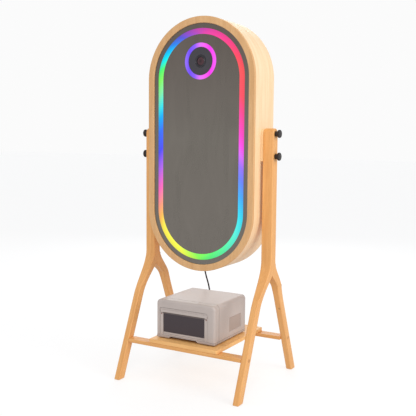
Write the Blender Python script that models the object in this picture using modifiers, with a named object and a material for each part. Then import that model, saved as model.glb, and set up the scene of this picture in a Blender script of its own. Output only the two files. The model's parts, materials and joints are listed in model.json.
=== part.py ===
"""Photo booth: a tilting pill-shaped mirror head with a camera, a colour light band and a
printer shelf, held between two wishbone wooden legs.

Metres, +Z up. The origin is on the floor, midway between the four feet. The front faces -Y and
+X is the viewer's right.
"""

import math

import bmesh
import bpy
from mathutils import Matrix, Vector

# ---------------------------------------------------------------------------------------------
# Driving dimensions

GAP = 0.0003

# Mirror head
HEAD_WIDTH = 0.530
HEAD_HEIGHT = 1.100
HEAD_DEPTH = 0.186
HEAD_CENTRE_Y = 0.007
HEAD_CENTRE_Z = 1.039
WALL = 0.012
RIM_BOARD = 0.012
RIM_WIDTH = 0.029
RIM_ROUNDING = 0.0025
RECESS = 0.006
PANE = 0.0057
BAND_INSET = 0.021
BAND_WIDTH = 0.025
BACKING = 0.012
REAR_PANEL = 0.006
REAR_RECESS = 0.003
ARC_STEPS = 24

# Camera window
CAMERA_Z = 1.400
RING_OUTER = 0.078
RING_INNER = 0.060
LENS_RADIUS = 0.023
CAMERA_HALF = 0.060
CAMERA_HOLLOW = 0.050
CAMERA_STAND_OFF = 0.024
CAMERA_THICKNESS = 0.040

# Light strip, computer and power supply on the backing board
GROOVE_DEPTH = 0.004
GROOVE_HALF = 0.005
STRIP_HALF = 0.004
STRIP_THICKNESS = 0.002
COMPUTER_HALF_WIDTH = 0.095
COMPUTER_LOW = 0.800
COMPUTER_HIGH = 0.990
COMPUTER_REACH = 0.045
SUPPLY_HALF_WIDTH = 0.050
SUPPLY_LOW = 0.600
SUPPLY_HIGH = 0.760
SUPPLY_REACH = 0.038

# Legs
POST_INNER_X = 0.275
POST_OUTER_X = 0.323
POST_HALF_DEPTH = 0.023
POST_TOP = 1.115
FOOT_INNER_X = 0.284
FOOT_OUTER_X = 0.312
FOOT_Y = 0.288
SPLAY = 0.418
BRANCH = 0.041
BEND_TOP = 0.550
FRONT_BEND_END = 0.360
REAR_BEND_END = 0.420
TAPER_END = 0.360
CROTCH_Z = 0.486
CROTCH_SLOPE = 0.9

# Tilt clamps
PIVOT_Z = POST_TOP - POST_HALF_DEPTH
CLAMP_SPACING = 0.095
TILT_LIMIT = math.radians(8)
STUD_RADIUS = 0.004
STUD_CLEARANCE = 0.0003
NECK_RADIUS = 0.012
NECK_LENGTH = 0.0135
GRIP_RADIUS = 0.017
GRIP_THICKNESS = 0.0085
GRIP_ROUNDING = 0.002
PAD_HALF_DEPTH = 0.021
PLATE_THICKNESS = 0.004
PLATE_HALF_DEPTH = 0.040
PLATE_OVERHANG = 0.030
NUT_THICKNESS = 0.006
NUT_HALF = 0.0075

# Rails and shelf
RAIL_LOW = 0.157
RAIL_HEIGHT = 0.016
RAIL_FRONT_Y = 0.219
RAIL_DEPTH = 0.050
SHELF_HALF_WIDTH = 0.1725
SHELF_THICKNESS = 0.0167
BOLT_RADIUS = 0.003
BOLT_HEAD_RADIUS = 0.007
BOLT_HEAD = 0.005
BOLT_LENGTH = 0.060
BOLT_END_PLAY = 0.002
SHELF_ROUNDING = 0.002

# Printer
PRINTER_X = -0.0085
PRINTER_WIDTH = 0.296
PRINTER_FRONT_Y = -0.181
PRINTER_DEPTH = 0.289
PRINTER_HEIGHT = 0.170
FOOT_HEIGHT = 0.004
TRAY_HEIGHT = 0.012
FASCIA_DEPTH = 0.015
CASE_WALL = 0.004
CASE_ROUNDING = 0.006
FLAP_WIDTH = 0.210
FLAP_HEIGHT = 0.092
FLAP_THICKNESS = 0.004
FLAP_FROM_LEFT = 0.035
FLAP_LOW = 0.018
FLAP_PIN_RADIUS = 0.0025
FLAP_PIN_REACH = 0.010
POCKET_DEPTH = 0.009

# Service door in the rear panel
DOOR_HALF_WIDTH = 0.150
DOOR_LOW = 0.700
DOOR_HIGH = 1.280
DOOR_PLAY = 0.0015
HINGE_HEIGHT = 0.500
HINGE_PIN_RADIUS = 0.0015
BARREL_RADIUS = 0.0035
LEAF = 0.0015

# Data cable from the head to the printer
CABLE_RADIUS = 0.0035
CABLE_POINTS = 40

HEAD_FRONT = HEAD_CENTRE_Y - HEAD_DEPTH / 2
HEAD_BACK = HEAD_CENTRE_Y + HEAD_DEPTH / 2
PANE_FRONT = HEAD_FRONT + RECESS
SHELL_FRONT = HEAD_FRONT + RIM_BOARD + GAP
BACKING_BACK = SHELL_FRONT + BACKING
PANEL_BACK = HEAD_BACK - REAR_RECESS
PANEL_FRONT = PANEL_BACK - REAR_PANEL
WALL_INNER_X = HEAD_WIDTH / 2 - WALL
RAIL_TOP = RAIL_LOW + RAIL_HEIGHT
SHELF_TOP = RAIL_TOP + GAP + SHELF_THICKNESS
LOWER_CLAMP_Z = PIVOT_Z - CLAMP_SPACING
PRINTER_LEFT = PRINTER_X - PRINTER_WIDTH / 2
PRINTER_RIGHT = PRINTER_X + PRINTER_WIDTH / 2
PRINTER_BACK_Y = PRINTER_FRONT_Y + PRINTER_DEPTH
TRAY_LOW = SHELF_TOP + GAP + FOOT_HEIGHT
TRAY_TOP = TRAY_LOW + TRAY_HEIGHT
PRINTER_TOP = TRAY_LOW + PRINTER_HEIGHT

# ---------------------------------------------------------------------------------------------
# Scene and materials

for old in list(bpy.data.objects):
    bpy.data.objects.remove(old)

PARTS = bpy.data.collections.new("photo_booth")
CUTTERS = bpy.data.collections.new("cutters")
bpy.context.scene.collection.children.link(PARTS)
bpy.context.scene.collection.children.link(CUTTERS)


def material(name, colour, roughness, metallic=0.0):
    """A Principled material of its own for one sub-part."""
    made = bpy.data.materials.new(name)
    made.use_nodes = True
    shader = made.node_tree.nodes["Principled BSDF"]
    shader.inputs["Base Color"].default_value = (*colour, 1.0)
    shader.inputs["Roughness"].default_value = roughness
    shader.inputs["Metallic"].default_value = metallic
    return made


LEG_WOOD = (0.78, 0.47, 0.22)
RIM_WOOD = (0.70, 0.44, 0.22)
PALE_WOOD = (0.93, 0.72, 0.46)
MIRROR_GREY = (0.15, 0.14, 0.13)
BLACK_PLASTIC = (0.03, 0.025, 0.025)
WARM_GREY = (0.48, 0.43, 0.40)
DARK_PLUM = (0.06, 0.04, 0.045)
STEEL = (0.55, 0.55, 0.56)
FIBREBOARD = (0.35, 0.22, 0.12)
OPAL = (0.90, 0.45, 0.70)
RUBBER = (0.02, 0.02, 0.02)
PAPER = (0.90, 0.90, 0.88)

# ---------------------------------------------------------------------------------------------
# Modelling helpers


def add_object(name, mesh, look=None, collection=None):
    """Link a mesh object into a collection, with its material."""
    made = bpy.data.objects.new(name, mesh)
    (collection or PARTS).objects.link(made)
    if look:
        mesh.materials.append(look)
    return made


def bevel(piece, width, segments=2, angle=40):
    """Round a piece's edges."""
    made = piece.modifiers.new("bevel", "BEVEL")
    made.width = width
    made.segments = segments
    made.limit_method = "ANGLE"
    made.angle_limit = math.radians(angle)
    return made


def box(name, low, high, look=None, collection=None):
    """An axis-aligned box between two corners."""
    low = Vector(low)
    high = Vector(high)
    mesh = bpy.data.meshes.new(name)
    cage = bmesh.new()
    bmesh.ops.create_cube(cage, size=1.0, matrix=Matrix.Diagonal((*(high - low), 1.0)))
    cage.to_mesh(mesh)
    cage.free()
    made = add_object(name, mesh, look, collection)
    made.location = (low + high) / 2
    return made


TURN_Z_TO = {
    "X": Matrix.Rotation(math.pi / 2, 4, "Y"),
    "Y": Matrix.Rotation(-math.pi / 2, 4, "X"),
    "Z": Matrix.Identity(4),
}


def cylinder(name, axis, centre, radius, length, look=None, collection=None, steps=32):
    """A cylinder about an axis through its centre."""
    mesh = bpy.data.meshes.new(name)
    cage = bmesh.new()
    bmesh.ops.create_cone(
        cage, cap_ends=True, segments=steps, radius1=radius, radius2=radius, depth=length,
        matrix=TURN_Z_TO[axis],
    )
    cage.to_mesh(mesh)
    cage.free()
    made = add_object(name, mesh, look, collection)
    made.location = centre
    return made


def turned(name, profile, centre, pointing, look=None, steps=32):
    """A solid of revolution: profile is (radius, height) from top to bottom, both ends on the
    axis, and pointing turns its +Z to the direction that the piece faces."""
    mesh = bpy.data.meshes.new(name)
    points = [(radius, 0.0, height) for radius, height in profile]
    edges = [(i, i + 1) for i in range(len(points) - 1)]
    mesh.from_pydata(points, edges, [])
    made = add_object(name, mesh, look)
    screw = made.modifiers.new("turn", "SCREW")
    screw.axis = "Z"
    screw.steps = steps
    screw.render_steps = steps
    screw.use_merge_vertices = True
    screw.merge_threshold = 0.00005
    made.rotation_euler = Vector(pointing).to_track_quat("Z", "Y").to_euler()
    made.location = centre
    return made


def as_mesh(source, name, look=None, collection=None):
    """Turn an object into a plain welded mesh in world space, and remove the source."""
    bpy.context.view_layer.update()
    seen = source.evaluated_get(bpy.context.evaluated_depsgraph_get())
    mesh = bpy.data.meshes.new_from_object(seen)
    mesh.transform(source.matrix_world)
    bpy.data.objects.remove(source)
    cage = bmesh.new()
    cage.from_mesh(mesh)
    bmesh.ops.remove_doubles(cage, verts=cage.verts, dist=0.00002)
    bmesh.ops.recalc_face_normals(cage, faces=cage.faces)
    cage.to_mesh(mesh)
    cage.free()
    mesh.materials.clear()
    return add_object(name, mesh, look, collection)


PLANE_TURN = {
    "XZ": Matrix.Rotation(math.pi / 2, 4, "X"),
    "YZ": Matrix(((0, 0, 1, 0), (1, 0, 0, 0), (0, 1, 0, 0), (0, 0, 0, 1))),
    "XY": Matrix.Identity(4),
}


def outline(name, plane, loops, low, high, look=None, collection=None):
    """A flat outline, with inner loops as holes, from low to high along the third axis."""
    curve = bpy.data.curves.new(name, "CURVE")
    curve.dimensions = "2D"
    curve.fill_mode = "BOTH"
    curve.extrude = (high - low) / 2
    for points in loops:
        spline = curve.splines.new("POLY")
        spline.points.add(len(points) - 1)
        for target, (u, v) in zip(spline.points, points):
            target.co = (u, v, 0.0, 1.0)
        spline.use_cyclic_u = True
    source = bpy.data.objects.new(name, curve)
    PARTS.objects.link(source)
    middle = (low + high) / 2
    shift = {"XZ": (0, middle, 0), "YZ": (middle, 0, 0), "XY": (0, 0, middle)}[plane]
    source.matrix_world = Matrix.Translation(shift) @ PLANE_TURN[plane]
    return as_mesh(source, name, look, collection)


def arc(u, v, radius, start, end, steps):
    """Points on an arc about (u, v), angles in radians."""
    angles = [start + (end - start) * i / steps for i in range(steps + 1)]
    return [(u + radius * math.cos(a), v + radius * math.sin(a)) for a in angles]


def circle(u, v, radius, steps=40):
    return arc(u, v, radius, 0.0, 2 * math.pi, steps)[:-1]


def pill(offset):
    """The head's outline in XZ, moved inwards by offset."""
    radius = HEAD_WIDTH / 2 - offset
    straight = (HEAD_HEIGHT - HEAD_WIDTH) / 2
    upper = arc(0.0, HEAD_CENTRE_Z + straight, radius, 0.0, math.pi, ARC_STEPS)
    lower = arc(0.0, HEAD_CENTRE_Z - straight, radius, math.pi, 2 * math.pi, ARC_STEPS)
    return upper + lower


def cut(piece, *cutters, operation="DIFFERENCE"):
    """Boolean a piece with cutters, which are hidden afterwards."""
    for cutter in cutters:
        step = piece.modifiers.new("cut", "BOOLEAN")
        step.operation = operation
        step.solver = "EXACT"
        step.object = cutter
        if cutter.name in PARTS.objects:
            PARTS.objects.unlink(cutter)
        if cutter.name not in CUTTERS.objects:
            CUTTERS.objects.link(cutter)
        cutter.hide_render = True
        cutter.display_type = "WIRE"
    return piece


def joined(name, look, first, *others):
    """One solid from touching or overlapping pieces."""
    cut(first, *others, operation="UNION")
    return as_mesh(first, name, look)


def set_origin(piece, point):
    """Move a piece's origin onto its joint's axis without moving the piece."""
    bpy.context.view_layer.update()
    shift = Vector(point)
    piece.data.transform(Matrix.Translation(-shift) @ piece.matrix_world)
    piece.matrix_world = Matrix.Translation(shift)
    return piece


def hermite(t, start, end, start_slope, end_slope):
    """Cubic between two values with given end slopes, t from 0 to 1."""
    return (
        start * (2 * t**3 - 3 * t**2 + 1)
        + start_slope * (t**3 - 2 * t**2 + t)
        + end * (3 * t**2 - 2 * t**3)
        + end_slope * (t**3 - t**2)
    )


# ---------------------------------------------------------------------------------------------
# Legs: one wishbone each side, cut to a side outline and a tapering front outline


def bend(start, end, start_slope, end_slope, high, low, steps=12):
    """Points (distance from the post's centre, height) down a bend of a leg."""
    span = high - low
    points = []
    for i in range(steps + 1):
        t = i / steps
        out = hermite(t, start, end, start_slope * span, end_slope * span)
        points.append((out, high - span * t))
    return points


def branch_outline(bend_end):
    """A branch from the post down its outer edge to the foot and up to the crotch."""
    outer_end = FOOT_Y - SPLAY * bend_end
    outer = bend(POST_HALF_DEPTH, outer_end, 0.0, SPLAY, BEND_TOP, bend_end)
    inner = bend(0.0, outer_end - BRANCH, CROTCH_SLOPE, SPLAY, CROTCH_Z, bend_end)
    return outer + [(FOOT_Y, 0.0), (FOOT_Y - BRANCH, 0.0)] + inner[:0:-1]


def leg_outline():
    """The wishbone seen from the side, in YZ; the rear branch flares out a little higher."""
    top = arc(0.0, PIVOT_Z, POST_HALF_DEPTH, 0.0, math.pi, 16)
    front = [(-y, z) for y, z in branch_outline(FRONT_BEND_END)]
    rear = branch_outline(REAR_BEND_END)
    return top + front + [(0.0, CROTCH_Z)] + rear[::-1]


def taper_outline(side):
    """The leg seen from the front, in XZ: thick post, thinner branches."""
    outer = bend(POST_OUTER_X, FOOT_OUTER_X, 0.0, 0.0, BEND_TOP, TAPER_END, 8)
    inner = bend(POST_INNER_X, FOOT_INNER_X, 0.0, 0.0, BEND_TOP, TAPER_END, 8)
    over = POST_TOP + 0.02
    under = -0.02
    points = [(POST_OUTER_X, over)] + outer + [(FOOT_OUTER_X, under), (FOOT_INNER_X, under)]
    points += inner[::-1] + [(POST_INNER_X, over)]
    return [(side * x, z) for x, z in points]


def bolt_places(side):
    """Centres of the rail bolts on one leg, in YZ."""
    height = RAIL_LOW + RAIL_HEIGHT / 2
    reach = FOOT_Y - SPLAY * height - BRANCH / 2
    return [(-reach, height), (reach, height)]


def bolt_profile(grow, above, tip):
    """A stepped shank and head, grown by a clearance, from above the leg's face to its tip."""
    head = BOLT_HEAD_RADIUS + grow
    shank = BOLT_RADIUS + grow
    sink = -BOLT_HEAD - grow
    return [(0.0, above), (head, above), (head, sink), (shank, sink), (shank, -tip), (0.0, -tip)]


def bolt_cutter(side, y, z, name):
    """The hole that a rail bolt leaves in a leg."""
    face = side * (FOOT_OUTER_X - GAP)
    return turned(name, bolt_profile(GAP, 0.02, BOLT_LENGTH), (face, y, z), (side, 0, 0), None, 20)


def leg(side, name):
    look = material(name, LEG_WOOD, 0.45)
    solid = outline(
        name + "_side", "YZ", [leg_outline()], min(side * 0.26, side * 0.34),
        max(side * 0.26, side * 0.34),
    )
    taper = outline(name + "_taper", "XZ", [taper_outline(side)], -0.4, 0.4)
    cut(solid, taper, operation="INTERSECT")
    middle = side * (POST_INNER_X + POST_OUTER_X) / 2
    stud_hole = STUD_RADIUS + STUD_CLEARANCE
    for height in (PIVOT_Z, LOWER_CLAMP_Z):
        cut(solid, cylinder(name + "_stud_hole", "X", (middle, 0, height), stud_hole, 0.1))
    for y, z in bolt_places(side):
        cut(solid, bolt_cutter(side, y, z, name + "_bolt_hole"))
    return as_mesh(solid, name, look)


def rail(side, name):
    look = material(name, LEG_WOOD, 0.45)
    front = side * RAIL_FRONT_Y
    back = side * (RAIL_FRONT_Y - RAIL_DEPTH)
    reach = FOOT_INNER_X - GAP
    made = box(
        name, (-reach, min(front, back), RAIL_LOW), (reach, max(front, back), RAIL_TOP), look,
    )
    for end in (-1, 1):
        for y, z in bolt_places(end):
            if y * side > 0:
                depth = 2 * (BOLT_LENGTH - (FOOT_OUTER_X - FOOT_INNER_X) + BOLT_END_PLAY)
                hole = BOLT_RADIUS + GAP
                cut(made, cylinder(name + "_hole", "X", (end * reach, y, z), hole, depth))
    return as_mesh(made, name, look)


def rail_bolt(side, y, z, name):
    """A flush-headed bolt through a leg into a rail."""
    profile = bolt_profile(0.0, 0.0, BOLT_LENGTH)
    face = side * (FOOT_OUTER_X - GAP)
    return turned(name, profile, (face, y, z), (side, 0, 0), material(name, LEG_WOOD, 0.5), 20)


leg(-1, "left_leg")
leg(1, "right_leg")
rail(-1, "front_rail")
rail(1, "rear_rail")
for leg_side, leg_word in ((-1, "left"), (1, "right")):
    for (bolt_y, bolt_z), rail_word in zip(bolt_places(leg_side), ("front", "rear")):
        rail_bolt(leg_side, bolt_y, bolt_z, f"rail_bolt_{rail_word}_{leg_word}")

shelf_board = box(
    "shelf_board", (-SHELF_HALF_WIDTH, -RAIL_FRONT_Y, RAIL_TOP + GAP),
    (SHELF_HALF_WIDTH, RAIL_FRONT_Y, SHELF_TOP), material("shelf_board", LEG_WOOD, 0.45),
)
bevel(shelf_board, SHELF_ROUNDING)

# ---------------------------------------------------------------------------------------------
# Tilt clamps: knobs with moulded studs, pads between post and head, plates and nuts inside


def arc_slot(radius, half_width):
    """A slot about the pivot, long enough for the tilt either way, in YZ."""
    down = -math.pi / 2
    outer = arc(0.0, PIVOT_Z, radius + half_width, down - TILT_LIMIT, down + TILT_LIMIT, 10)
    inner = arc(0.0, PIVOT_Z, radius - half_width, down + TILT_LIMIT, down - TILT_LIMIT, 10)
    ends = []
    for turn in (TILT_LIMIT, -TILT_LIMIT):
        y = radius * math.cos(down + turn)
        z = PIVOT_Z + radius * math.sin(down + turn)
        first = turn if turn > 0 else turn + math.pi
        ends.append(arc(y, z, half_width, down + first, down + first + math.pi, 8)[1:-1])
    right = [(y, z) for y, z in ends[0]]
    left = [(y, z) for y, z in ends[1]]
    start = Vector(outer[-1])
    if (Vector(right[0]) - start).length > (Vector(right[-1]) - start).length:
        right.reverse()
    start = Vector(inner[-1])
    if (Vector(left[0]) - start).length > (Vector(left[-1]) - start).length:
        left.reverse()
    return outer + right + inner + left


SLOT_HALF = STUD_RADIUS + 2 * STUD_CLEARANCE


def clamp_cutters(side, name, near, far):
    """Cutters for the stud hole and the arc slot through the head's side."""
    middle = side * (near + far) / 2
    length = far - near
    hole = cylinder(
        name + "_hole", "X", (middle, 0, PIVOT_Z), STUD_RADIUS + STUD_CLEARANCE, length,
    )
    ends = sorted((side * near, side * far))
    slot = outline(name + "_slot", "YZ", [arc_slot(CLAMP_SPACING, SLOT_HALF)], *ends)
    return hole, slot


def friction_pad(side, name):
    """The pad that fills the space between the post and the head's side."""
    half = PAD_HALF_DEPTH
    low = LOWER_CLAMP_Z - half
    loop = arc(0.0, PIVOT_Z, half, 0.0, math.pi, 16) + [(-half, low), (half, low)]
    ends = sorted((side * (HEAD_WIDTH / 2 + GAP), side * (POST_INNER_X - GAP)))
    hole = STUD_RADIUS + STUD_CLEARANCE
    loops = [loop, circle(0.0, PIVOT_Z, hole, 24), circle(0.0, LOWER_CLAMP_Z, hole, 24)]
    return outline(name, "YZ", loops, *ends, material(name, PALE_WOOD, 0.6))


def pivot_plate(side, name):
    """The steel plate inside the head's wall that the studs clamp against."""
    far = WALL_INNER_X - GAP
    near = far - PLATE_THICKNESS
    ends = sorted((side * near, side * far))
    made = box(
        name, (ends[0], -PLATE_HALF_DEPTH, LOWER_CLAMP_Z - PLATE_OVERHANG),
        (ends[1], PLATE_HALF_DEPTH, PIVOT_Z + PLATE_OVERHANG),
    )
    cut(made, *clamp_cutters(side, name, near - 0.01, far + 0.01))
    return as_mesh(made, name, material(name, STEEL, 0.35, 1.0))


def slot_nut(side, name):
    """The square nut that slides behind the arc slot."""
    far = WALL_INNER_X - 2 * GAP - PLATE_THICKNESS
    near = far - NUT_THICKNESS
    ends = sorted((side * near, side * far))
    low, high = LOWER_CLAMP_Z - NUT_HALF, LOWER_CLAMP_Z + NUT_HALF
    square = [(-NUT_HALF, low), (NUT_HALF, low), (NUT_HALF, high), (-NUT_HALF, high)]
    bore = circle(0.0, LOWER_CLAMP_Z, STUD_RADIUS + STUD_CLEARANCE, 24)
    return outline(name, "YZ", [square, bore], *ends, material(name, STEEL, 0.35, 1.0))


def knob(side, name, height, inner_x):
    """A hand knob with its stud moulded in; its origin is on its own axis."""
    neck = NECK_LENGTH
    top = neck + GRIP_THICKNESS
    rounding = GRIP_ROUNDING
    stud = -(POST_OUTER_X + GAP - inner_x)
    profile = [
        (0.0, top + 0.0008), (GRIP_RADIUS * 0.55, top + 0.0003), (GRIP_RADIUS - rounding, top),
        (GRIP_RADIUS, top - rounding), (GRIP_RADIUS, neck + rounding),
        (GRIP_RADIUS - rounding, neck), (NECK_RADIUS, neck), (NECK_RADIUS, 0.0),
        (STUD_RADIUS, 0.0), (STUD_RADIUS, stud), (0.0, stud),
    ]
    face = side * (POST_OUTER_X + GAP)
    look = material(name, BLACK_PLASTIC, 0.35)
    return turned(name, profile, (face, 0, height), (side, 0, 0), look, 24)


for clamp_side, clamp_word in ((-1, "left"), (1, "right")):
    friction_pad(clamp_side, f"friction_pad_{clamp_word}")
    pivot_plate(clamp_side, f"pivot_plate_{clamp_word}")
    slot_nut(clamp_side, f"slot_nut_{clamp_word}")
    plate_inner = WALL_INNER_X - GAP - PLATE_THICKNESS
    knob(clamp_side, f"knob_upper_{clamp_word}", PIVOT_Z, plate_inner)
    knob(clamp_side, f"knob_lower_{clamp_word}", LOWER_CLAMP_Z, plate_inner - NUT_THICKNESS)

# ---------------------------------------------------------------------------------------------
# Mirror head: bent side wall, front rim, mirror panes with the light band between them


def pill_ring(name, outer, inner, front, back, look):
    return outline(name, "XZ", [pill(outer), pill(inner)], front, back, look)


def housing_shell():
    name = "housing_shell"
    made = pill_ring(name, 0.0, WALL, SHELL_FRONT, HEAD_BACK, None)
    for side in (-1, 1):
        cut(made, *clamp_cutters(side, f"{name}_{side}", WALL_INNER_X - 0.02, HEAD_WIDTH / 2 + 0.02))
    return as_mesh(made, name, material(name, PALE_WOOD, 0.5))


def front_rim():
    name = "front_rim"
    made = pill_ring(
        name, 0.0, RIM_WIDTH, HEAD_FRONT, HEAD_FRONT + RIM_BOARD, material(name, RIM_WOOD, 0.45),
    )
    bevel(made, RIM_ROUNDING, 1)
    return made


BAND_OUTER = RIM_WIDTH + BAND_INSET
BAND_INNER = BAND_OUTER + BAND_WIDTH
PANE_BACK = PANE_FRONT + PANE

housing_shell()
front_rim()
pill_ring(
    "mirror_border", RIM_WIDTH + GAP, BAND_OUTER, PANE_FRONT, PANE_BACK,
    material("mirror_border", MIRROR_GREY, 0.1),
)
pill_ring(
    "light_band", BAND_OUTER + GAP, BAND_INNER - GAP, PANE_FRONT, PANE_BACK,
    material("light_band", OPAL, 0.3),
)
outline(
    "mirror_pane", "XZ", [pill(BAND_INNER), circle(0.0, CAMERA_Z, RING_OUTER, 64)],
    PANE_FRONT, PANE_BACK, material("mirror_pane", MIRROR_GREY, 0.1),
)
outline(
    "camera_ring", "XZ",
    [circle(0.0, CAMERA_Z, RING_OUTER - GAP, 64), circle(0.0, CAMERA_Z, RING_INNER + GAP, 64)],
    PANE_FRONT, PANE_BACK, material("camera_ring", OPAL, 0.3),
)
cylinder(
    "camera_window", "Y", (0, (PANE_FRONT + PANE_BACK) / 2, CAMERA_Z), RING_INNER, PANE,
    material("camera_window", (0.05, 0.05, 0.06), 0.1), steps=64,
)


def backing_board():
    """The board behind the panes, with a groove for the light strip and the camera's hole."""
    name = "backing_board"
    made = outline(name, "XZ", [pill(WALL + GAP)], SHELL_FRONT, BACKING_BACK)
    middle = (BAND_OUTER + BAND_INNER) / 2
    groove = pill_ring(
        name + "_groove", middle - GROOVE_HALF, middle + GROOVE_HALF, SHELL_FRONT - GROOVE_DEPTH,
        SHELL_FRONT + GROOVE_DEPTH, None,
    )
    hole = cylinder(
        name + "_hole", "Y", (0, SHELL_FRONT, CAMERA_Z), CAMERA_HOLLOW, 4 * BACKING,
    )
    cut(made, groove, hole)
    return as_mesh(made, name, material(name, FIBREBOARD, 0.8))


def light_strip():
    middle = (BAND_OUTER + BAND_INNER) / 2
    back = SHELL_FRONT + GROOVE_DEPTH - GAP
    return pill_ring(
        "led_strip", middle - STRIP_HALF, middle + STRIP_HALF, back - STRIP_THICKNESS, back,
        material("led_strip", (0.9, 0.9, 0.85), 0.5),
    )


backing_board()
light_strip()

# Camera and electronics inside the head
LENS_FRONT = SHELL_FRONT + 0.001
CAMERA_FRONT = BACKING_BACK + CAMERA_STAND_OFF
cylinder(
    "camera_lens", "Y", (0, (LENS_FRONT + CAMERA_FRONT) / 2, CAMERA_Z), LENS_RADIUS,
    CAMERA_FRONT - LENS_FRONT, material("camera_lens", BLACK_PLASTIC, 0.2), steps=40,
)


def camera_body():
    """The camera, hollowed at the front where it stands on the board around its lens."""
    name = "camera_body"
    made = box(
        name, (-CAMERA_HALF, BACKING_BACK + GAP, CAMERA_Z - CAMERA_HALF),
        (CAMERA_HALF, CAMERA_FRONT + CAMERA_THICKNESS, CAMERA_Z + CAMERA_HALF),
    )
    hollow = cylinder(
        name + "_hollow", "Y", (0, BACKING_BACK, CAMERA_Z), CAMERA_HOLLOW,
        2 * (CAMERA_FRONT + GAP - BACKING_BACK), steps=40,
    )
    cut(made, hollow)
    return as_mesh(made, name, material(name, BLACK_PLASTIC, 0.5))


camera_body()

computer = box(
    "computer", (-COMPUTER_HALF_WIDTH, BACKING_BACK + GAP, COMPUTER_LOW),
    (COMPUTER_HALF_WIDTH, BACKING_BACK + COMPUTER_REACH, COMPUTER_HIGH),
    material("computer", BLACK_PLASTIC, 0.5),
)
bevel(computer, 0.004)
power_supply = box(
    "power_supply", (-SUPPLY_HALF_WIDTH, BACKING_BACK + GAP, SUPPLY_LOW),
    (SUPPLY_HALF_WIDTH, BACKING_BACK + SUPPLY_REACH, SUPPLY_HIGH),
    material("power_supply", STEEL, 0.45, 1.0),
)
bevel(power_supply, 0.002)

# ---------------------------------------------------------------------------------------------
# Rear panel with service door, lock, power inlet, switch and cable gland

INLET_X = 0.060
INLET_Z = 0.610
INLET_HALF = (0.024, 0.014)
INLET_LIP = 0.003
INLET_FLOOR = 0.004
SOCKET_HALF = (0.0125, 0.0085)
SWITCH_X = 0.000
SWITCH_Z = 0.610
SWITCH_HALF = (0.0095, 0.0135)
SWITCH_HOLE = (0.0072, 0.0110)
SWITCH_LIP = 0.002
SWITCH_DEPTH = 0.008
ROCKER_HALF_WIDTH = 0.0066
GLAND_X = -0.120
GLAND_Z = 0.610
GLAND_RADIUS = 0.006
GLAND_OUT = 0.016
GLAND_IN = 0.014
LOCK_X = -0.130
LOCK_Z = (DOOR_LOW + DOOR_HIGH) / 2
LOCK_RADIUS = 0.009
LOCK_PLUG_RADIUS = 0.005
LOCK_LIP = 0.003
CAM_HALF_WIDTH = 0.006
CAM_THICKNESS = 0.003
CAM_BELOW = 0.008
CAM_ABOVE = 0.032
KEYWAY_HALF = (0.0006, 0.0035)
KEYWAY_DEPTH = 0.003
FLANGE = 0.002
VENT_ROWS = 6
VENT_PITCH = 0.010
VENT_HALF = 0.030
VENT_RADIUS = 0.0025
VENT_FROM_TOP = 0.060
DOOR_CORNER = 0.012
LEAF_REACH = 0.020


def door_loop(grow):
    """The door's rounded rectangle in XZ, moved outwards by grow."""
    radius = DOOR_CORNER + grow
    wide = DOOR_HALF_WIDTH + grow - radius
    high = DOOR_HIGH + grow - radius
    low = DOOR_LOW - grow + radius
    quarter = math.pi / 2
    points = []
    for turn, (u, v) in enumerate(((wide, high), (-wide, high), (-wide, low), (wide, low))):
        points += arc(u, v, radius, turn * quarter, (turn + 1) * quarter, 5)
    return points


def vent_slot(u, v):
    """A round-ended ventilation slot's loop in XZ."""
    half, radius = VENT_HALF, VENT_RADIUS
    right = arc(u + half, v, radius, -math.pi / 2, math.pi / 2, 6)
    left = arc(u - half, v, radius, math.pi / 2, 3 * math.pi / 2, 6)
    return right + left


def rectangle(u, v, half_u, half_v):
    return [
        (u - half_u, v - half_v), (u + half_u, v - half_v),
        (u + half_u, v + half_v), (u - half_u, v + half_v),
    ]


def rear_panel():
    loops = [pill(WALL + GAP), door_loop(DOOR_PLAY)]
    loops.append(rectangle(INLET_X, INLET_Z, INLET_HALF[0] + GAP, INLET_HALF[1] + GAP))
    loops.append(rectangle(SWITCH_X, SWITCH_Z, SWITCH_HALF[0] + GAP, SWITCH_HALF[1] + GAP))
    loops.append(circle(GLAND_X, GLAND_Z, GLAND_RADIUS + GAP, 24))
    look = material("rear_panel", PALE_WOOD, 0.55)
    return outline("rear_panel", "XZ", loops, PANEL_FRONT, PANEL_BACK, look)


def service_door():
    loops = [door_loop(0.0), circle(LOCK_X, LOCK_Z, LOCK_RADIUS + GAP, 24)]
    for row in range(VENT_ROWS):
        loops.append(vent_slot(0.0, DOOR_HIGH - VENT_FROM_TOP - row * VENT_PITCH))
    look = material("service_door", PALE_WOOD, 0.55)
    made = outline("service_door", "XZ", loops, PANEL_FRONT, PANEL_BACK, look)
    return set_origin(made, HINGE_AXIS)


HINGE_Y = PANEL_BACK + GAP + BARREL_RADIUS
HINGE_X = DOOR_HALF_WIDTH + DOOR_PLAY / 2
HINGE_Z = (DOOR_LOW + DOOR_HIGH) / 2
HINGE_AXIS = (HINGE_X, HINGE_Y, HINGE_Z)
KNUCKLE = HINGE_HEIGHT / 3


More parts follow.
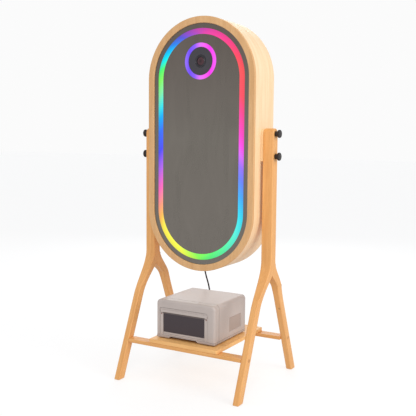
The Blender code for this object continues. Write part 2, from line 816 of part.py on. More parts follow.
def hinge_leaf(name, side, knuckles):
    """A leaf with its knuckles; side +1 is on the panel and -1 on the door."""
    low = HINGE_Z - HINGE_HEIGHT / 2
    plate_y = (PANEL_BACK + GAP, PANEL_BACK + GAP + LEAF)
    pieces = []
    near = HINGE_X + side * (BARREL_RADIUS + 0.0006)
    ends = sorted((near, HINGE_X + side * LEAF_REACH))
    made = box(
        name + "_plate", (ends[0], plate_y[0], low), (ends[1], plate_y[1], low + HINGE_HEIGHT),
    )
    for index in knuckles:
        start = low + index * KNUCKLE + GAP
        stop = low + (index + 1) * KNUCKLE - GAP
        centre = (HINGE_X, HINGE_Y, (start + stop) / 2)
        pieces.append(
            cylinder(name + "_barrel", "Z", centre, BARREL_RADIUS, stop - start, steps=20)
        )
        web = sorted((HINGE_X, near + side * 0.004))
        pieces.append(box(
            name + "_web", (web[0], plate_y[0] + 0.0002, start + 0.001),
            (web[1], plate_y[1] - 0.0002, stop - 0.001),
        ))
    whole = joined(name, None, made, *pieces)
    bore = cylinder(
        name + "_bore", "Z", HINGE_AXIS, HINGE_PIN_RADIUS + GAP, HINGE_HEIGHT * 1.2, steps=16,
    )
    cut(whole, bore)
    return as_mesh(whole, name, material(name, STEEL, 0.35, 1.0))


def lock_barrel():
    """The lock's housing: a flange outside the door and a tube through it."""
    name = "lock_barrel"
    back = PANEL_BACK + GAP
    tube = cylinder(
        name + "_tube", "Y", (LOCK_X, (PANEL_FRONT + back + FLANGE) / 2, LOCK_Z), LOCK_RADIUS,
        back + FLANGE - PANEL_FRONT,
    )
    flange = cylinder(
        name + "_flange", "Y", (LOCK_X, back + FLANGE / 2, LOCK_Z), LOCK_RADIUS + LOCK_LIP, FLANGE,
    )
    bore = cylinder(
        name + "_bore", "Y", (LOCK_X, back, LOCK_Z), LOCK_PLUG_RADIUS + GAP, 0.05, steps=24,
    )
    whole = joined(name, None, tube, flange)
    cut(whole, bore)
    return as_mesh(whole, name, material(name, STEEL, 0.3, 1.0))


def lock_plug():
    """The turning plug with its cam, which stands upright when unlocked."""
    name = "lock_plug"
    back = PANEL_BACK + GAP + FLANGE
    cam_back = PANEL_FRONT - 0.001
    plug = cylinder(
        name + "_body", "Y", (LOCK_X, (cam_back - 0.001 + back) / 2, LOCK_Z), LOCK_PLUG_RADIUS,
        back - cam_back + 0.001, steps=24,
    )
    cam = box(
        name + "_cam", (LOCK_X - CAM_HALF_WIDTH, cam_back - CAM_THICKNESS, LOCK_Z - CAM_BELOW),
        (LOCK_X + CAM_HALF_WIDTH, cam_back, LOCK_Z + CAM_ABOVE),
    )
    slot = box(
        name + "_keyway",
        (LOCK_X - KEYWAY_HALF[0], back - KEYWAY_DEPTH, LOCK_Z - KEYWAY_HALF[1]),
        (LOCK_X + KEYWAY_HALF[0], back + KEYWAY_DEPTH, LOCK_Z + KEYWAY_HALF[1]),
    )
    whole = joined(name, None, plug, cam)
    cut(whole, slot)
    made = as_mesh(whole, name, material(name, STEEL, 0.3, 1.0))
    return set_origin(made, (LOCK_X, back, LOCK_Z))


def power_inlet(name, x, z, half, face, depth, look):
    """A three-pin mains inlet let into a panel: a flange and an open socket."""
    body = box(
        name + "_body", (x - half[0], face - depth, z - half[1]),
        (x + half[0], face + FLANGE, z + half[1]),
    )
    flange = box(
        name + "_flange", (x - half[0] - INLET_LIP, face + GAP, z - half[1] - INLET_LIP),
        (x + half[0] + INLET_LIP, face + FLANGE, z + half[1] + INLET_LIP),
    )
    whole = joined(name, None, body, flange)
    socket = box(
        name + "_socket",
        (x - SOCKET_HALF[0], face - depth + INLET_FLOOR, z - SOCKET_HALF[1]),
        (x + SOCKET_HALF[0], face + 2 * FLANGE, z + SOCKET_HALF[1]),
    )
    cut(whole, socket)
    return as_mesh(whole, name, look)


def switch_frame():
    name = "switch_frame"
    hole = rectangle(SWITCH_X, SWITCH_Z, *SWITCH_HOLE)
    body = rectangle(SWITCH_X, SWITCH_Z, *SWITCH_HALF)
    lip = rectangle(
        SWITCH_X, SWITCH_Z, SWITCH_HALF[0] + SWITCH_LIP, SWITCH_HALF[1] + SWITCH_LIP,
    )
    back = PANEL_BACK + FLANGE
    frame = outline(name + "_body", "XZ", [body, hole], PANEL_BACK - SWITCH_DEPTH, back)
    rim = outline(name + "_rim", "XZ", [lip, hole], PANEL_BACK + GAP, back)
    return joined(name, material(name, BLACK_PLASTIC, 0.45), frame, rim)


ROCKER_REST = math.radians(-8)


def power_switch():
    """The rocker: two wings about its pivot, resting on one side."""
    name = "power_switch"
    loop = [
        (0.0040, -0.0098), (0.0022, 0.0), (0.0040, 0.0098), (-0.0040, 0.0085), (-0.0040, -0.0085),
    ]
    made = outline(
        name, "YZ", [loop], SWITCH_X - ROCKER_HALF_WIDTH, SWITCH_X + ROCKER_HALF_WIDTH,
        material(name, BLACK_PLASTIC, 0.35),
    )
    made.rotation_euler.x = ROCKER_REST
    made.location = (0, PANEL_BACK, SWITCH_Z)
    return made


def cable_gland():
    """The gland that the data cable leaves the head through."""
    name = "cable_gland"
    profile = [
        (0.0, GLAND_OUT), (0.0048, GLAND_OUT), (0.0072, GLAND_OUT - 0.003), (0.0085, 0.006),
        (0.0095, 0.006), (0.0095, GAP), (GLAND_RADIUS, GAP), (GLAND_RADIUS, -GLAND_IN),
        (0.0, -GLAND_IN),
    ]
    look = material(name, BLACK_PLASTIC, 0.5)
    return turned(name, profile, (GLAND_X, PANEL_BACK, GLAND_Z), (0, 1, 0), look, 24)


rear_panel()
service_door()
hinge_leaf("hinge_leaf_panel", 1, (0, 2))
hinge_leaf("hinge_leaf_door", -1, (1,))
cylinder(
    "hinge_pin", "Z", HINGE_AXIS, HINGE_PIN_RADIUS, HINGE_HEIGHT,
    material("hinge_pin", STEEL, 0.3, 1.0), steps=16,
)
lock_barrel()
lock_plug()
power_inlet(
    "head_inlet", INLET_X, INLET_Z, INLET_HALF, PANEL_BACK, 0.022,
    material("head_inlet", BLACK_PLASTIC, 0.45),
)
switch_frame()
power_switch()
cable_gland()

# ---------------------------------------------------------------------------------------------
# Printer

FLAP_LEFT = PRINTER_LEFT + FLAP_FROM_LEFT
FLAP_RIGHT = FLAP_LEFT + FLAP_WIDTH
FLAP_BOTTOM = TRAY_LOW + FLAP_LOW
FLAP_AXIS_Z = FLAP_BOTTOM + FLAP_HEIGHT
FLAP_AXIS_Y = PRINTER_FRONT_Y + 0.0045
FLAP_AXIS = ((FLAP_LEFT + FLAP_RIGHT) / 2, FLAP_AXIS_Y, FLAP_AXIS_Z)
CASE_FRONT = PRINTER_FRONT_Y + FASCIA_DEPTH + GAP
CASE_LOW = TRAY_TOP + GAP
CHASSIS_INSET = 0.030
CHASSIS_LEFT = PRINTER_LEFT + CHASSIS_INSET
CHASSIS_RIGHT = PRINTER_RIGHT - CHASSIS_INSET
CHASSIS_WALL = 0.003
CHASSIS_FRONT = -0.150
CHASSIS_BACK = 0.090
CHASSIS_BELOW_CASE = 0.006
TRAY_INSET = 0.001
NOTCH_LEFT = PRINTER_LEFT + 0.064
NOTCH_RIGHT = PRINTER_LEFT + 0.212
NOTCH_CHAMFER = 0.008
NOTCH_DEPTH = 0.030
FLAP_PLAY = 0.0006
OPENING_INSET = 0.006
OPENING_BELOW_AXIS = 0.012
POCKET_ABOVE_AXIS = 0.004
GRIP_DEPTH = 0.002
GRIP_Y = (-0.050, 0.060)
GRIP_Z = (TRAY_LOW + 0.030, TRAY_LOW + 0.095)
PRINT_HEAD_HALF = 0.012
PRINT_HEAD_Z = (0.0095, 0.024)
FEET_INSET = 0.025
FRONT_FEET_INSET = 0.045
PRINTER_FOOT_RADIUS = 0.009
ROLL_X = (CHASSIS_LEFT + CHASSIS_RIGHT) / 2
AXLE_RADIUS = 0.004
PAPER_ROLL = (0.030, 0.275)
RIBBON_SUPPLY = (-0.040, 0.320)
RIBBON_TAKEUP = (-0.115, 0.318)
PLATEN = (-0.078, 0.262)


def printer_tray():
    """The printer's base, notched at the front where prints drop out."""
    name = "printer_tray"
    made = box(
        name, (PRINTER_LEFT + TRAY_INSET, PRINTER_FRONT_Y + TRAY_INSET, TRAY_LOW),
        (PRINTER_RIGHT - TRAY_INSET, PRINTER_BACK_Y - TRAY_INSET, TRAY_TOP),
    )
    under = TRAY_LOW - 0.01
    top = TRAY_LOW + NOTCH_CHAMFER
    notch = [
        (NOTCH_LEFT, under), (NOTCH_RIGHT, under), (NOTCH_RIGHT, TRAY_LOW),
        (NOTCH_RIGHT - NOTCH_CHAMFER, top), (NOTCH_LEFT + NOTCH_CHAMFER, top),
        (NOTCH_LEFT, TRAY_LOW),
    ]
    cut(made, outline(
        name + "_notch", "XZ", [notch], PRINTER_FRONT_Y - 0.01, PRINTER_FRONT_Y + NOTCH_DEPTH,
    ))
    return as_mesh(made, name, material(name, WARM_GREY, 0.5))


def printer_fascia():
    """The front cover: a pocket for the flap and the opening behind it."""
    name = "printer_fascia"
    back = PRINTER_FRONT_Y + FASCIA_DEPTH
    made = box(
        name, (PRINTER_LEFT, PRINTER_FRONT_Y, CASE_LOW), (PRINTER_RIGHT, back, PRINTER_TOP),
    )
    bevel(made, CASE_ROUNDING, 3)
    pocket = box(
        name + "_pocket", (FLAP_LEFT - FLAP_PLAY, PRINTER_FRONT_Y - 0.01, CASE_LOW - 0.01),
        (FLAP_RIGHT + FLAP_PLAY, PRINTER_FRONT_Y + POCKET_DEPTH, FLAP_AXIS_Z + POCKET_ABOVE_AXIS),
    )
    opening = box(
        name + "_opening", (FLAP_LEFT + OPENING_INSET, PRINTER_FRONT_Y, CASE_LOW - 0.01),
        (FLAP_RIGHT - OPENING_INSET, back + 0.01, FLAP_AXIS_Z - OPENING_BELOW_AXIS),
    )
    bores = cylinder(
        name + "_bores", "X", FLAP_AXIS, FLAP_PIN_RADIUS + GAP,
        FLAP_WIDTH + 2 * FLAP_PIN_REACH + 0.002, steps=20,
    )
    cut(made, pocket, opening, bores)
    return as_mesh(made, name, material(name, WARM_GREY, 0.45))


def printer_case():
    """The cover behind the fascia: open below and in front."""
    name = "printer_case"
    made = box(
        name, (PRINTER_LEFT, CASE_FRONT, CASE_LOW), (PRINTER_RIGHT, PRINTER_BACK_Y, PRINTER_TOP),
    )
    bevel(made, CASE_ROUNDING, 3)
    inside = box(
        name + "_inside", (PRINTER_LEFT + CASE_WALL, CASE_FRONT - 0.01, CASE_LOW - 0.01),
        (PRINTER_RIGHT - CASE_WALL, PRINTER_BACK_Y - CASE_WALL, PRINTER_TOP - CASE_WALL),
    )
    grip = box(
        name + "_grip", (PRINTER_RIGHT - GRIP_DEPTH, GRIP_Y[0], GRIP_Z[0]),
        (PRINTER_RIGHT + 0.01, GRIP_Y[1], GRIP_Z[1]),
    )
    wide = INLET_HALF[0] + GAP
    tall = INLET_HALF[1] + GAP
    inlet = box(
        name + "_inlet",
        (PRINTER_INLET_X - wide, PRINTER_BACK_Y - 0.02, PRINTER_INLET_Z - tall),
        (PRINTER_INLET_X + wide, PRINTER_BACK_Y + 0.02, PRINTER_INLET_Z + tall),
    )
    cut(made, inside, grip, inlet)
    return as_mesh(made, name, material(name, WARM_GREY, 0.45))


def printer_flap():
    """The dark front flap with a pin at each end of its top edge."""
    name = "printer_flap"
    panel = box(
        name + "_panel", (FLAP_LEFT, FLAP_AXIS_Y - FLAP_THICKNESS / 2, FLAP_BOTTOM),
        (FLAP_RIGHT, FLAP_AXIS_Y + FLAP_THICKNESS / 2, FLAP_AXIS_Z - 0.001),
    )
    rod = cylinder(
        name + "_pins", "X", FLAP_AXIS, FLAP_PIN_RADIUS, FLAP_WIDTH + 2 * FLAP_PIN_REACH, steps=20,
    )
    made = joined(name, material(name, DARK_PLUM, 0.4), panel, rod)
    return set_origin(made, FLAP_AXIS)


def printer_chassis():
    """The U-shaped steel frame that holds the rolls."""
    name = "printer_chassis"
    low = TRAY_TOP + GAP
    high = PRINTER_TOP - CASE_WALL - CHASSIS_BELOW_CASE
    left, right = CHASSIS_LEFT, CHASSIS_RIGHT
    wall = CHASSIS_WALL
    loop = [
        (left, high), (left, low), (right, low), (right, high),
        (right - wall, high), (right - wall, low + wall), (left + wall, low + wall),
        (left + wall, high),
    ]
    made = outline(name, "XZ", [loop], CHASSIS_FRONT, CHASSIS_BACK)
    for index, (y, z) in enumerate((PAPER_ROLL, RIBBON_SUPPLY, RIBBON_TAKEUP, PLATEN)):
        cut(made, cylinder(
            f"{name}_axle_{index}", "X", (ROLL_X, y, z), AXLE_RADIUS + GAP, 0.4, steps=24,
        ))
    return as_mesh(made, name, material(name, STEEL, 0.5, 1.0))


def roller(name, place, radius, look):
    """A roll on its axle, whose ends sit in the chassis walls."""
    half = (CHASSIS_RIGHT - CHASSIS_LEFT) / 2
    body = half - CHASSIS_WALL - 0.003
    profile = [
        (0.0, half), (AXLE_RADIUS, half), (AXLE_RADIUS, body), (radius, body), (radius, -body),
        (AXLE_RADIUS, -body), (AXLE_RADIUS, -half), (0.0, -half),
    ]
    return turned(name, profile, (ROLL_X, *place), (1, 0, 0), look, 24)


PRINTER_INLET_X = PRINTER_X + 0.090
PRINTER_INLET_Z = TRAY_TOP + 0.030
SOCKET_X = -0.100
SOCKET_Z = 0.270

printer_tray()
printer_fascia()
printer_case()
printer_flap()
printer_chassis()
roller("paper_roll", PAPER_ROLL, 0.052, material("paper_roll", PAPER, 0.8))
roller("ribbon_supply", RIBBON_SUPPLY, 0.017, material("ribbon_supply", (0.5, 0.1, 0.1), 0.4))
roller("ribbon_takeup", RIBBON_TAKEUP, 0.012, material("ribbon_takeup", (0.1, 0.1, 0.3), 0.4))
roller("platen_roller", PLATEN, 0.009, material("platen_roller", RUBBER, 0.6))
box(
    "print_head",
    (CHASSIS_LEFT + CHASSIS_WALL + GAP, PLATEN[0] - PRINT_HEAD_HALF, PLATEN[1] + PRINT_HEAD_Z[0]),
    (CHASSIS_RIGHT - CHASSIS_WALL - GAP, PLATEN[0] + PRINT_HEAD_HALF, PLATEN[1] + PRINT_HEAD_Z[1]),
    material("print_head", STEEL, 0.4, 1.0),
)
power_inlet(
    "printer_inlet", PRINTER_INLET_X, PRINTER_INLET_Z, INLET_HALF, PRINTER_BACK_Y, 0.014,
    material("printer_inlet", BLACK_PLASTIC, 0.45),
)
FEET_X = ((PRINTER_LEFT + FEET_INSET, "left"), (PRINTER_RIGHT - FEET_INSET, "right"))
FEET_Y = ((PRINTER_FRONT_Y + FRONT_FEET_INSET, "front"), (PRINTER_BACK_Y - FEET_INSET, "rear"))
foot_z = SHELF_TOP + GAP + (FOOT_HEIGHT - GAP) / 2
for foot_x, foot_word in FEET_X:
    for foot_y, row_word in FEET_Y:
        foot_name = f"printer_foot_{row_word}_{foot_word}"
        cylinder(
            foot_name, "Z", (foot_x, foot_y, foot_z), PRINTER_FOOT_RADIUS, FOOT_HEIGHT - GAP,
            material(foot_name, RUBBER, 0.8), steps=24,
        )

# ---------------------------------------------------------------------------------------------
# Data cable, from the gland down behind the printer to its plug

PLUG_LENGTH = 0.030
BOOT_LENGTH = 0.022
CABLE_START = (GLAND_X, PANEL_BACK + GLAND_OUT + GAP, GLAND_Z)
CABLE_END = (SOCKET_X, PRINTER_BACK_Y + GAP + PLUG_LENGTH + BOOT_LENGTH + GAP, SOCKET_Z)
CABLE_ROUTE = (
    CABLE_START,
    (-0.120, 0.135, 0.609),
    (-0.121, 0.162, 0.592),
    (-0.126, 0.180, 0.552),
    (-0.131, 0.189, 0.490),
    (-0.127, 0.195, 0.425),
    (-0.112, 0.201, 0.365),
    (-0.103, 0.204, 0.310),
    (-0.100, 0.196, 0.278),
    (-0.100, 0.178, 0.2705),
    CABLE_END,
)


def smooth_route(points, count):
    """Evenly counted points on a Catmull-Rom curve through the route."""
    points = [Vector(p) for p in points]
    ends = [2 * points[0] - points[1]] + points + [2 * points[-1] - points[-2]]
    spans = len(points) - 1
    result = []
    for i in range(count + 1):
        place = i / count * spans
        span = min(int(place), spans - 1)
        t = place - span
        a, b, c, d = ends[span:span + 4]
        result.append(0.5 * (
            2 * b + (c - a) * t + (2 * a - 5 * b + 4 * c - d) * t**2
            + (3 * b - a - 3 * c + d) * t**3
        ))
    return result


def data_cable():
    curve = bpy.data.curves.new("data_cable", "CURVE")
    curve.dimensions = "3D"
    curve.bevel_depth = CABLE_RADIUS
    curve.bevel_resolution = 2
    curve.use_fill_caps = True
    points = smooth_route(CABLE_ROUTE, CABLE_POINTS)
    spline = curve.splines.new("POLY")
    spline.points.add(len(points) - 1)
    for target, point in zip(spline.points, points):
        target.co = (*point, 1.0)
    source = bpy.data.objects.new("data_cable", curve)
    PARTS.objects.link(source)
    return as_mesh(source, "data_cable", material("data_cable", BLACK_PLASTIC, 0.5))


def cable_plug():
    """The connector in the printer's rear, with a tapering boot."""
    name = "cable_plug"
    start = PRINTER_BACK_Y + GAP
    shell = box(
        name + "_shell", (SOCKET_X - 0.008, start, SOCKET_Z - 0.006),
        (SOCKET_X + 0.008, start + PLUG_LENGTH, SOCKET_Z + 0.006),
    )
    boot = turned(
        name + "_boot",
        [(0.0, BOOT_LENGTH), (CABLE_RADIUS + 0.0008, BOOT_LENGTH), (0.0055, -0.002), (0.0, -0.002)],
        (SOCKET_X, start + PLUG_LENGTH, SOCKET_Z), (0, 1, 0), None, 20,
    )
    return joined(name, material(name, BLACK_PLASTIC, 0.5), shell, boot)


data_cable()
cable_plug()
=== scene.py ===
"""Photo booth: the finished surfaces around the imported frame.

Metres, +Z up, the mirror faces -Y. Places come from the frame's own boxes, and every piece rides on
the body of the node that it stands for.
"""

import json
import math

import bmesh
import bpy
from mathutils import Matrix, Vector


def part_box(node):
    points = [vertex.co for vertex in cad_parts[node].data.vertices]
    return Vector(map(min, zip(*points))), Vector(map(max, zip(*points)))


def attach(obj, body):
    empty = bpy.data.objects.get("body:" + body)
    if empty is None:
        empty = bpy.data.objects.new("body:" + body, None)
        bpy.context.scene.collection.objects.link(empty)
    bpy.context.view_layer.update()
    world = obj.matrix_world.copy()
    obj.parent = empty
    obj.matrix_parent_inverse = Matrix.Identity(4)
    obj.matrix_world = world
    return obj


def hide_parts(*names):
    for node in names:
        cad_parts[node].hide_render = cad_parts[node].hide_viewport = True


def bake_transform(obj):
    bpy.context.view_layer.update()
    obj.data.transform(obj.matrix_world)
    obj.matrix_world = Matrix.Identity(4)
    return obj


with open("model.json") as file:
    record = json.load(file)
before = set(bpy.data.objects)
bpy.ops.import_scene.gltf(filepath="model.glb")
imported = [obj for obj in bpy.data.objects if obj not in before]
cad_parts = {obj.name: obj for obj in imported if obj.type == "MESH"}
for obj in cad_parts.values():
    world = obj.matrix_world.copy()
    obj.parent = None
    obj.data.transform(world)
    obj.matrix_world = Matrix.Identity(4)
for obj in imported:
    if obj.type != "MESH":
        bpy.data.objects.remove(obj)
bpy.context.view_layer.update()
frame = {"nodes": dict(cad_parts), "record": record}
BEHAVIOUR = frame["record"]["behaviour"]
BODY_OF = {node: body for body, nodes in BEHAVIOUR["bodies"].items() for node in nodes}
JOINT_PLACE = {joint["name"]: joint["pos_m"] for joint in BEHAVIOUR["joints"]}
GAP = 0.0003  # left between neighbours, so that they don't touch
PAST = 0.01  # how far a cutter runs past what it cuts

# ---- Camera, lights and floor

CAMERA_PLACE = (1.5720, -2.7245, 1.0800)
CAMERA_LENS = 61.18
AZIMUTH, ELEVATION, ROLL = (math.radians(angle) for angle in (30.02, 5.80, 0.48))
SKY = ((0.97, 0.98, 1.0), 0.72)  # colour and strength of the light all round
BACKDROP = ((0.966, 0.966, 0.966), 1.0)  # what the camera sees in its place
LIGHTS = (  # name, place, target, size, watts, colour
    ("key", (3.6, -0.4, 2.2), (0.0, 0.0, 0.9), 2.2, 56.0, (1.0, 0.98, 0.95)),
    ("front", (1.9, -3.7, 2.9), (0.0, 0.0, 0.8), 1.4, 46.0, (1.0, 1.0, 1.0)),
    ("back", (-1.6, 3.2, 2.4), (0.0, 0.0, 0.9), 2.2, 30.0, (1.0, 1.0, 1.0)),
)
FLOOR_SIZE = 30.0
FLOOR_DROP = 0.0006
FLOOR_GREY = (0.30, 0.30, 0.30)
FLOOR_GLOW = (0.46, 0.70)  # for the pieces, and for the camera


def add(name, data):
    made = bpy.data.objects.new(name, data)
    bpy.context.scene.collection.objects.link(made)
    return made


def towards(direction, axis="Z"):
    """The turn that points an axis along a direction."""
    return Vector(direction).to_track_quat(axis, "Y").to_matrix().to_4x4()


def camera():
    data = bpy.data.cameras.new("camera")
    data.lens = CAMERA_LENS
    made = add("camera", data)
    made.matrix_world = (
        Matrix.Translation(CAMERA_PLACE)
        @ Matrix.Rotation(AZIMUTH, 4, "Z")
        @ Matrix.Rotation(math.pi / 2 - ELEVATION, 4, "X")
        @ Matrix.Rotation(ROLL, 4, "Z")
    )
    bpy.context.scene.camera = made


def area_light(name, place, target, size, watts, colour):
    """A square soft light that faces a target."""
    data = bpy.data.lights.new(name, "AREA")
    data.energy = watts
    data.size = size
    data.color = colour
    aim = Vector(target) - Vector(place)
    add(name, data).matrix_world = Matrix.Translation(place) @ towards(aim, "-Z")


def studio():
    """A white studio: even light all round, with one big soft light on the right."""
    scene = bpy.context.scene
    scene.view_settings.view_transform = "Standard"
    world = bpy.data.worlds.new("studio")
    world.use_nodes = True
    nodes = world.node_tree.nodes
    links = world.node_tree.links
    nodes.clear()
    mix = nodes.new("ShaderNodeMixShader")
    path = nodes.new("ShaderNodeLightPath")
    links.new(path.outputs["Is Camera Ray"], mix.inputs[0])
    for slot, (colour, strength) in ((1, SKY), (2, BACKDROP)):
        shade = nodes.new("ShaderNodeBackground")
        shade.inputs["Color"].default_value = (*colour, 1.0)
        shade.inputs["Strength"].default_value = strength
        links.new(shade.outputs[0], mix.inputs[slot])
    output = nodes.new("ShaderNodeOutputWorld")
    links.new(mix.outputs[0], output.inputs["Surface"])
    scene.world = world
    for light in LIGHTS:
        area_light(*light)


def floor():
    cage = bmesh.new()
    bmesh.ops.create_grid(cage, x_segments=1, y_segments=1, size=FLOOR_SIZE)
    made = shaped(cage, "floor")
    made.location.z = -FLOOR_DROP
    look = Look("floor", 0.9)
    look.colour(FLOOR_GREY)
    look.shader.inputs["Emission Color"].default_value = (1.0, 1.0, 1.0, 1.0)
    path = look.node("LightPath")
    look.feed("Emission Strength", look.span(path.outputs["Is Camera Ray"], *FLOOR_GLOW))
    made.data.materials.append(look.material)


# ---- Materials

GRAIN_ALONG = {"X": (0.055, 1.0, 1.0), "Y": (1.0, 0.055, 1.0), "Z": (1.0, 1.0, 0.055)}
BANDS, STREAKS, FIBRES, PORES = 34.0, 150.0, 800.0, 420.0  # how fine each part of the grain is
LEG_LIGHT, LEG_DARK = "f4ba76", "d9954e"
VENEER = "fbdcae", "eabf88"
BODY_GREY = "bcb0aa"
OPAL_BLACK = (0.004, 0.004, 0.004)


def tint(colour):
    """A screen colour such as "e8b070" as the linear colour that a shader takes; a tuple is one."""
    if isinstance(colour, tuple):
        return colour
    parts = [int(colour[i:i + 2], 16) / 255 for i in (0, 2, 4)]
    return tuple(c / 12.92 if c <= 0.04045 else ((c + 0.055) / 1.055) ** 2.4 for c in parts)


class Look:
    """A material in the making: one Principled shader and the nodes that feed it."""

    def __init__(self, name, roughness=0.5, metallic=0.0):
        self.material = bpy.data.materials.new(name)
        self.material.use_nodes = True
        self.tree = self.material.node_tree
        self.shader = self.tree.nodes["Principled BSDF"]
        self.shader.inputs["Roughness"].default_value = roughness
        self.shader.inputs["Metallic"].default_value = metallic

    def node(self, kind, inputs=None, **settings):
        """A node with its settings and inputs; an input is a value or another node's output."""
        made = self.tree.nodes.new("ShaderNode" + kind)
        for key, value in settings.items():
            setattr(made, key, value)
        for key, value in (inputs or {}).items():
            if isinstance(value, bpy.types.NodeSocket):
                self.tree.links.new(value, made.inputs[key])
            else:
                made.inputs[key].default_value = value
        return made

    def feed(self, key, socket):
        self.tree.links.new(socket, self.shader.inputs[key])

    def colour(self, value):
        self.shader.inputs["Base Color"].default_value = (*tint(value), 1.0)

    def place(self, scale=(1.0, 1.0, 1.0), attribute=None):
        """Positions on the piece, squeezed by scale, or those that an attribute holds."""
        if attribute:
            source = self.node("Attribute", attribute_name=attribute).outputs["Vector"]
        else:
            source = self.node("TexCoord").outputs["Object"]
        return self.node("Mapping", {"Vector": source, "Scale": scale}).outputs["Vector"]

    def noise(self, vector, scale, detail=2.0, roughness=0.5, distortion=0.0):
        return self.node("TexNoise", {
            "Vector": vector, "Scale": scale, "Detail": detail, "Roughness": roughness,
            "Distortion": distortion,
        }).outputs["Fac"]

    def math(self, operation, *values):
        return self.node("Math", dict(enumerate(values)), operation=operation).outputs[0]

    def ramp(self, factor, stops):
        """Colours along a factor; stops are (place, colour)."""
        made = self.node("ValToRGB", {"Fac": factor})
        elements = made.color_ramp.elements
        while len(elements) < len(stops):
            elements.new(0.5)
        for element, (place, _) in zip(elements, stops):
            element.position = place
        for element, (_, colour) in zip(elements, stops):
            element.color = (*tint(colour), 1.0)
        return made.outputs["Color"]

    def span(self, value, low, high, start=0.0, end=1.0):
        """Map a value from one range to another."""
        return self.node("MapRange", {
            "Value": value, "From Min": start, "From Max": end, "To Min": low, "To Max": high,
        }).outputs["Result"]

    def vary(self, noise, low, high):
        """Map the middle of a noise, where nearly all of it lies, to a range."""
        return self.span(noise, low, high, 0.3, 0.7)

    def multiply(self, colour, factor):
        """A colour made darker or lighter by a factor."""
        inputs = {0: colour, "Scale": factor}
        return self.node("VectorMath", inputs, operation="SCALE").outputs[0]

    def distance(self, point):
        """How far a place on the piece is from a point."""
        inputs = {0: self.place(), 1: point}
        return self.node("VectorMath", inputs, operation="DISTANCE").outputs["Value"]

    def bump(self, height, distance, strength=1.0):
        made = self.node("Bump", {"Height": height, "Distance": distance, "Strength": strength})
        self.feed("Normal", made.outputs["Normal"])


def wood(name, light, dark, along="Z", attribute=None, roughness=0.42, contrast=1.0, knots=()):
    """Oiled light wood: growth bands, streaks, fibres and short pores along the grain."""
    light, dark = tint(light), tint(dark)
    look = Look(name, roughness)
    squeeze = GRAIN_ALONG[along]
    grain = look.place(squeeze, attribute)
    bands = look.noise(grain, BANDS, 2.0, 0.5, 0.9)
    streaks = look.noise(grain, STREAKS, 3.0, 0.6, 0.3)
    fibres = look.noise(grain, FIBRES, 2.0, 0.5)
    tone = look.math("MULTIPLY", bands, 0.42)
    tone = look.math("MULTIPLY_ADD", streaks, 0.40, tone)
    tone = look.math("MULTIPLY_ADD", fibres, 0.18, tone)
    spread = 0.20 / contrast
    middle = tuple((a + b) / 2 for a, b in zip(light, dark))
    colour = look.ramp(tone, [(0.5 - spread, dark), (0.5, middle), (0.5 + spread, light)])
    pores = look.noise(look.place(tuple(3.0 * s for s in squeeze), attribute), PORES, 1.0)
    pores = look.span(pores, 1.0, 0.80, 0.63, 0.72)
    colour = look.multiply(colour, pores)
    for centre, size in knots:
        colour = look.multiply(colour, look.span(look.distance(centre), 0.55, 1.0, size * 0.25, size))
    look.feed("Base Color", colour)
    look.feed("Roughness", look.span(streaks, roughness - 0.06, roughness + 0.08))
    relief = look.math("MULTIPLY_ADD", fibres, 0.5, look.math("MULTIPLY", pores, 0.6))
    look.bump(relief, 0.0004, 0.5)
    return look.material


def plastic(name, colour, roughness, texture=1400.0, depth=0.00012, shine=0.5):
    """Moulded plastic with a fine spark-eroded texture and slight unevenness."""
    colour = tint(colour)
    look = Look(name, roughness)
    look.shader.inputs["Specular IOR Level"].default_value = shine
    place = look.place()
    cloud = look.noise(place, 9.0, 3.0)
    pits = look.noise(place, texture, 2.0, 0.6)
    lighter = tuple(min(1.0, 1.04 * c) for c in colour)
    base = look.ramp(cloud, [(0.0, colour), (1.0, lighter)])
    shaded = look.multiply(base, look.vary(cloud, 0.94, 1.05))
    look.feed("Base Color", look.multiply(shaded, look.vary(pits, 0.95, 1.05)))
    look.feed("Roughness", look.vary(cloud, roughness - 0.05, roughness + 0.05))
    look.bump(pits, depth, 0.6)
    return look.material


def metal(name, colour, roughness, along="Z"):
    """Plated or brushed metal with fine drawn lines and small scuffs."""
    look = Look(name, roughness, 1.0)
    squeeze = tuple(0.3 if s < 1 else 1.0 for s in GRAIN_ALONG[along])
    drawn = look.noise(look.place(squeeze), 900.0, 3.0)
    cloud = look.noise(look.place(), 24.0, 3.0)
    base = look.ramp(cloud, [(0.3, tuple(0.86 * c for c in colour)), (0.7, colour)])
    look.feed("Base Color", look.multiply(base, look.vary(drawn, 0.9, 1.05)))
    look.feed("Roughness", look.vary(drawn, roughness - 0.07, roughness + 0.1))
    look.bump(drawn, 0.00005, 0.4)
    return look.material


def smoked_mirror(name):
    """Smoked two-way mirror with faint smears; a painted reflection makes it a little darker and browner
    towards the top.
    """
    look = Look(name, 0.28, 1.0)
    height = look.node("SeparateXYZ", {"Vector": look.place()}).outputs["Z"]
    # Painted reflection: the mirror's colour darkens and browns with height, standing in for the darker
    # surroundings it reflects near its top.
    painted_reflection_fade = look.span(height, 0.0, 1.0, 0.55, 1.50)
    smears = look.noise(look.place((3.0, 1.0, 0.7)), 4.0, 3.0, 0.6, 0.8)
    base = look.ramp(painted_reflection_fade, [(0.0, "857f78"), (0.55, "868078"), (1.0, "776e67")])
    look.feed("Base Color", look.multiply(base, look.vary(smears, 0.94, 1.06)))
    look.feed("Roughness", look.vary(smears, 0.24, 0.32))
    return look.material


# ---- Modelling helpers

WELD = 0.00002
SHARP = 35.0  # edges this sharp are rounded
CREASE = 38.0  # and edges this sharp stay sharp in the shading
PLANE_TURN = {
    "XZ": Matrix.Rotation(math.pi / 2, 4, "X"),
    "YZ": Matrix(((0, 0, 1, 0), (1, 0, 0, 0), (0, 1, 0, 0), (0, 0, 0, 1))),
    "XY": Matrix.Identity(4),
}


def arc(u, v, radius, start, end, steps):
    """Points on an arc about (u, v), angles in radians."""
    angles = [start + (end - start) * i / steps for i in range(steps + 1)]
    return [(u + radius * math.cos(a), v + radius * math.sin(a)) for a in angles]


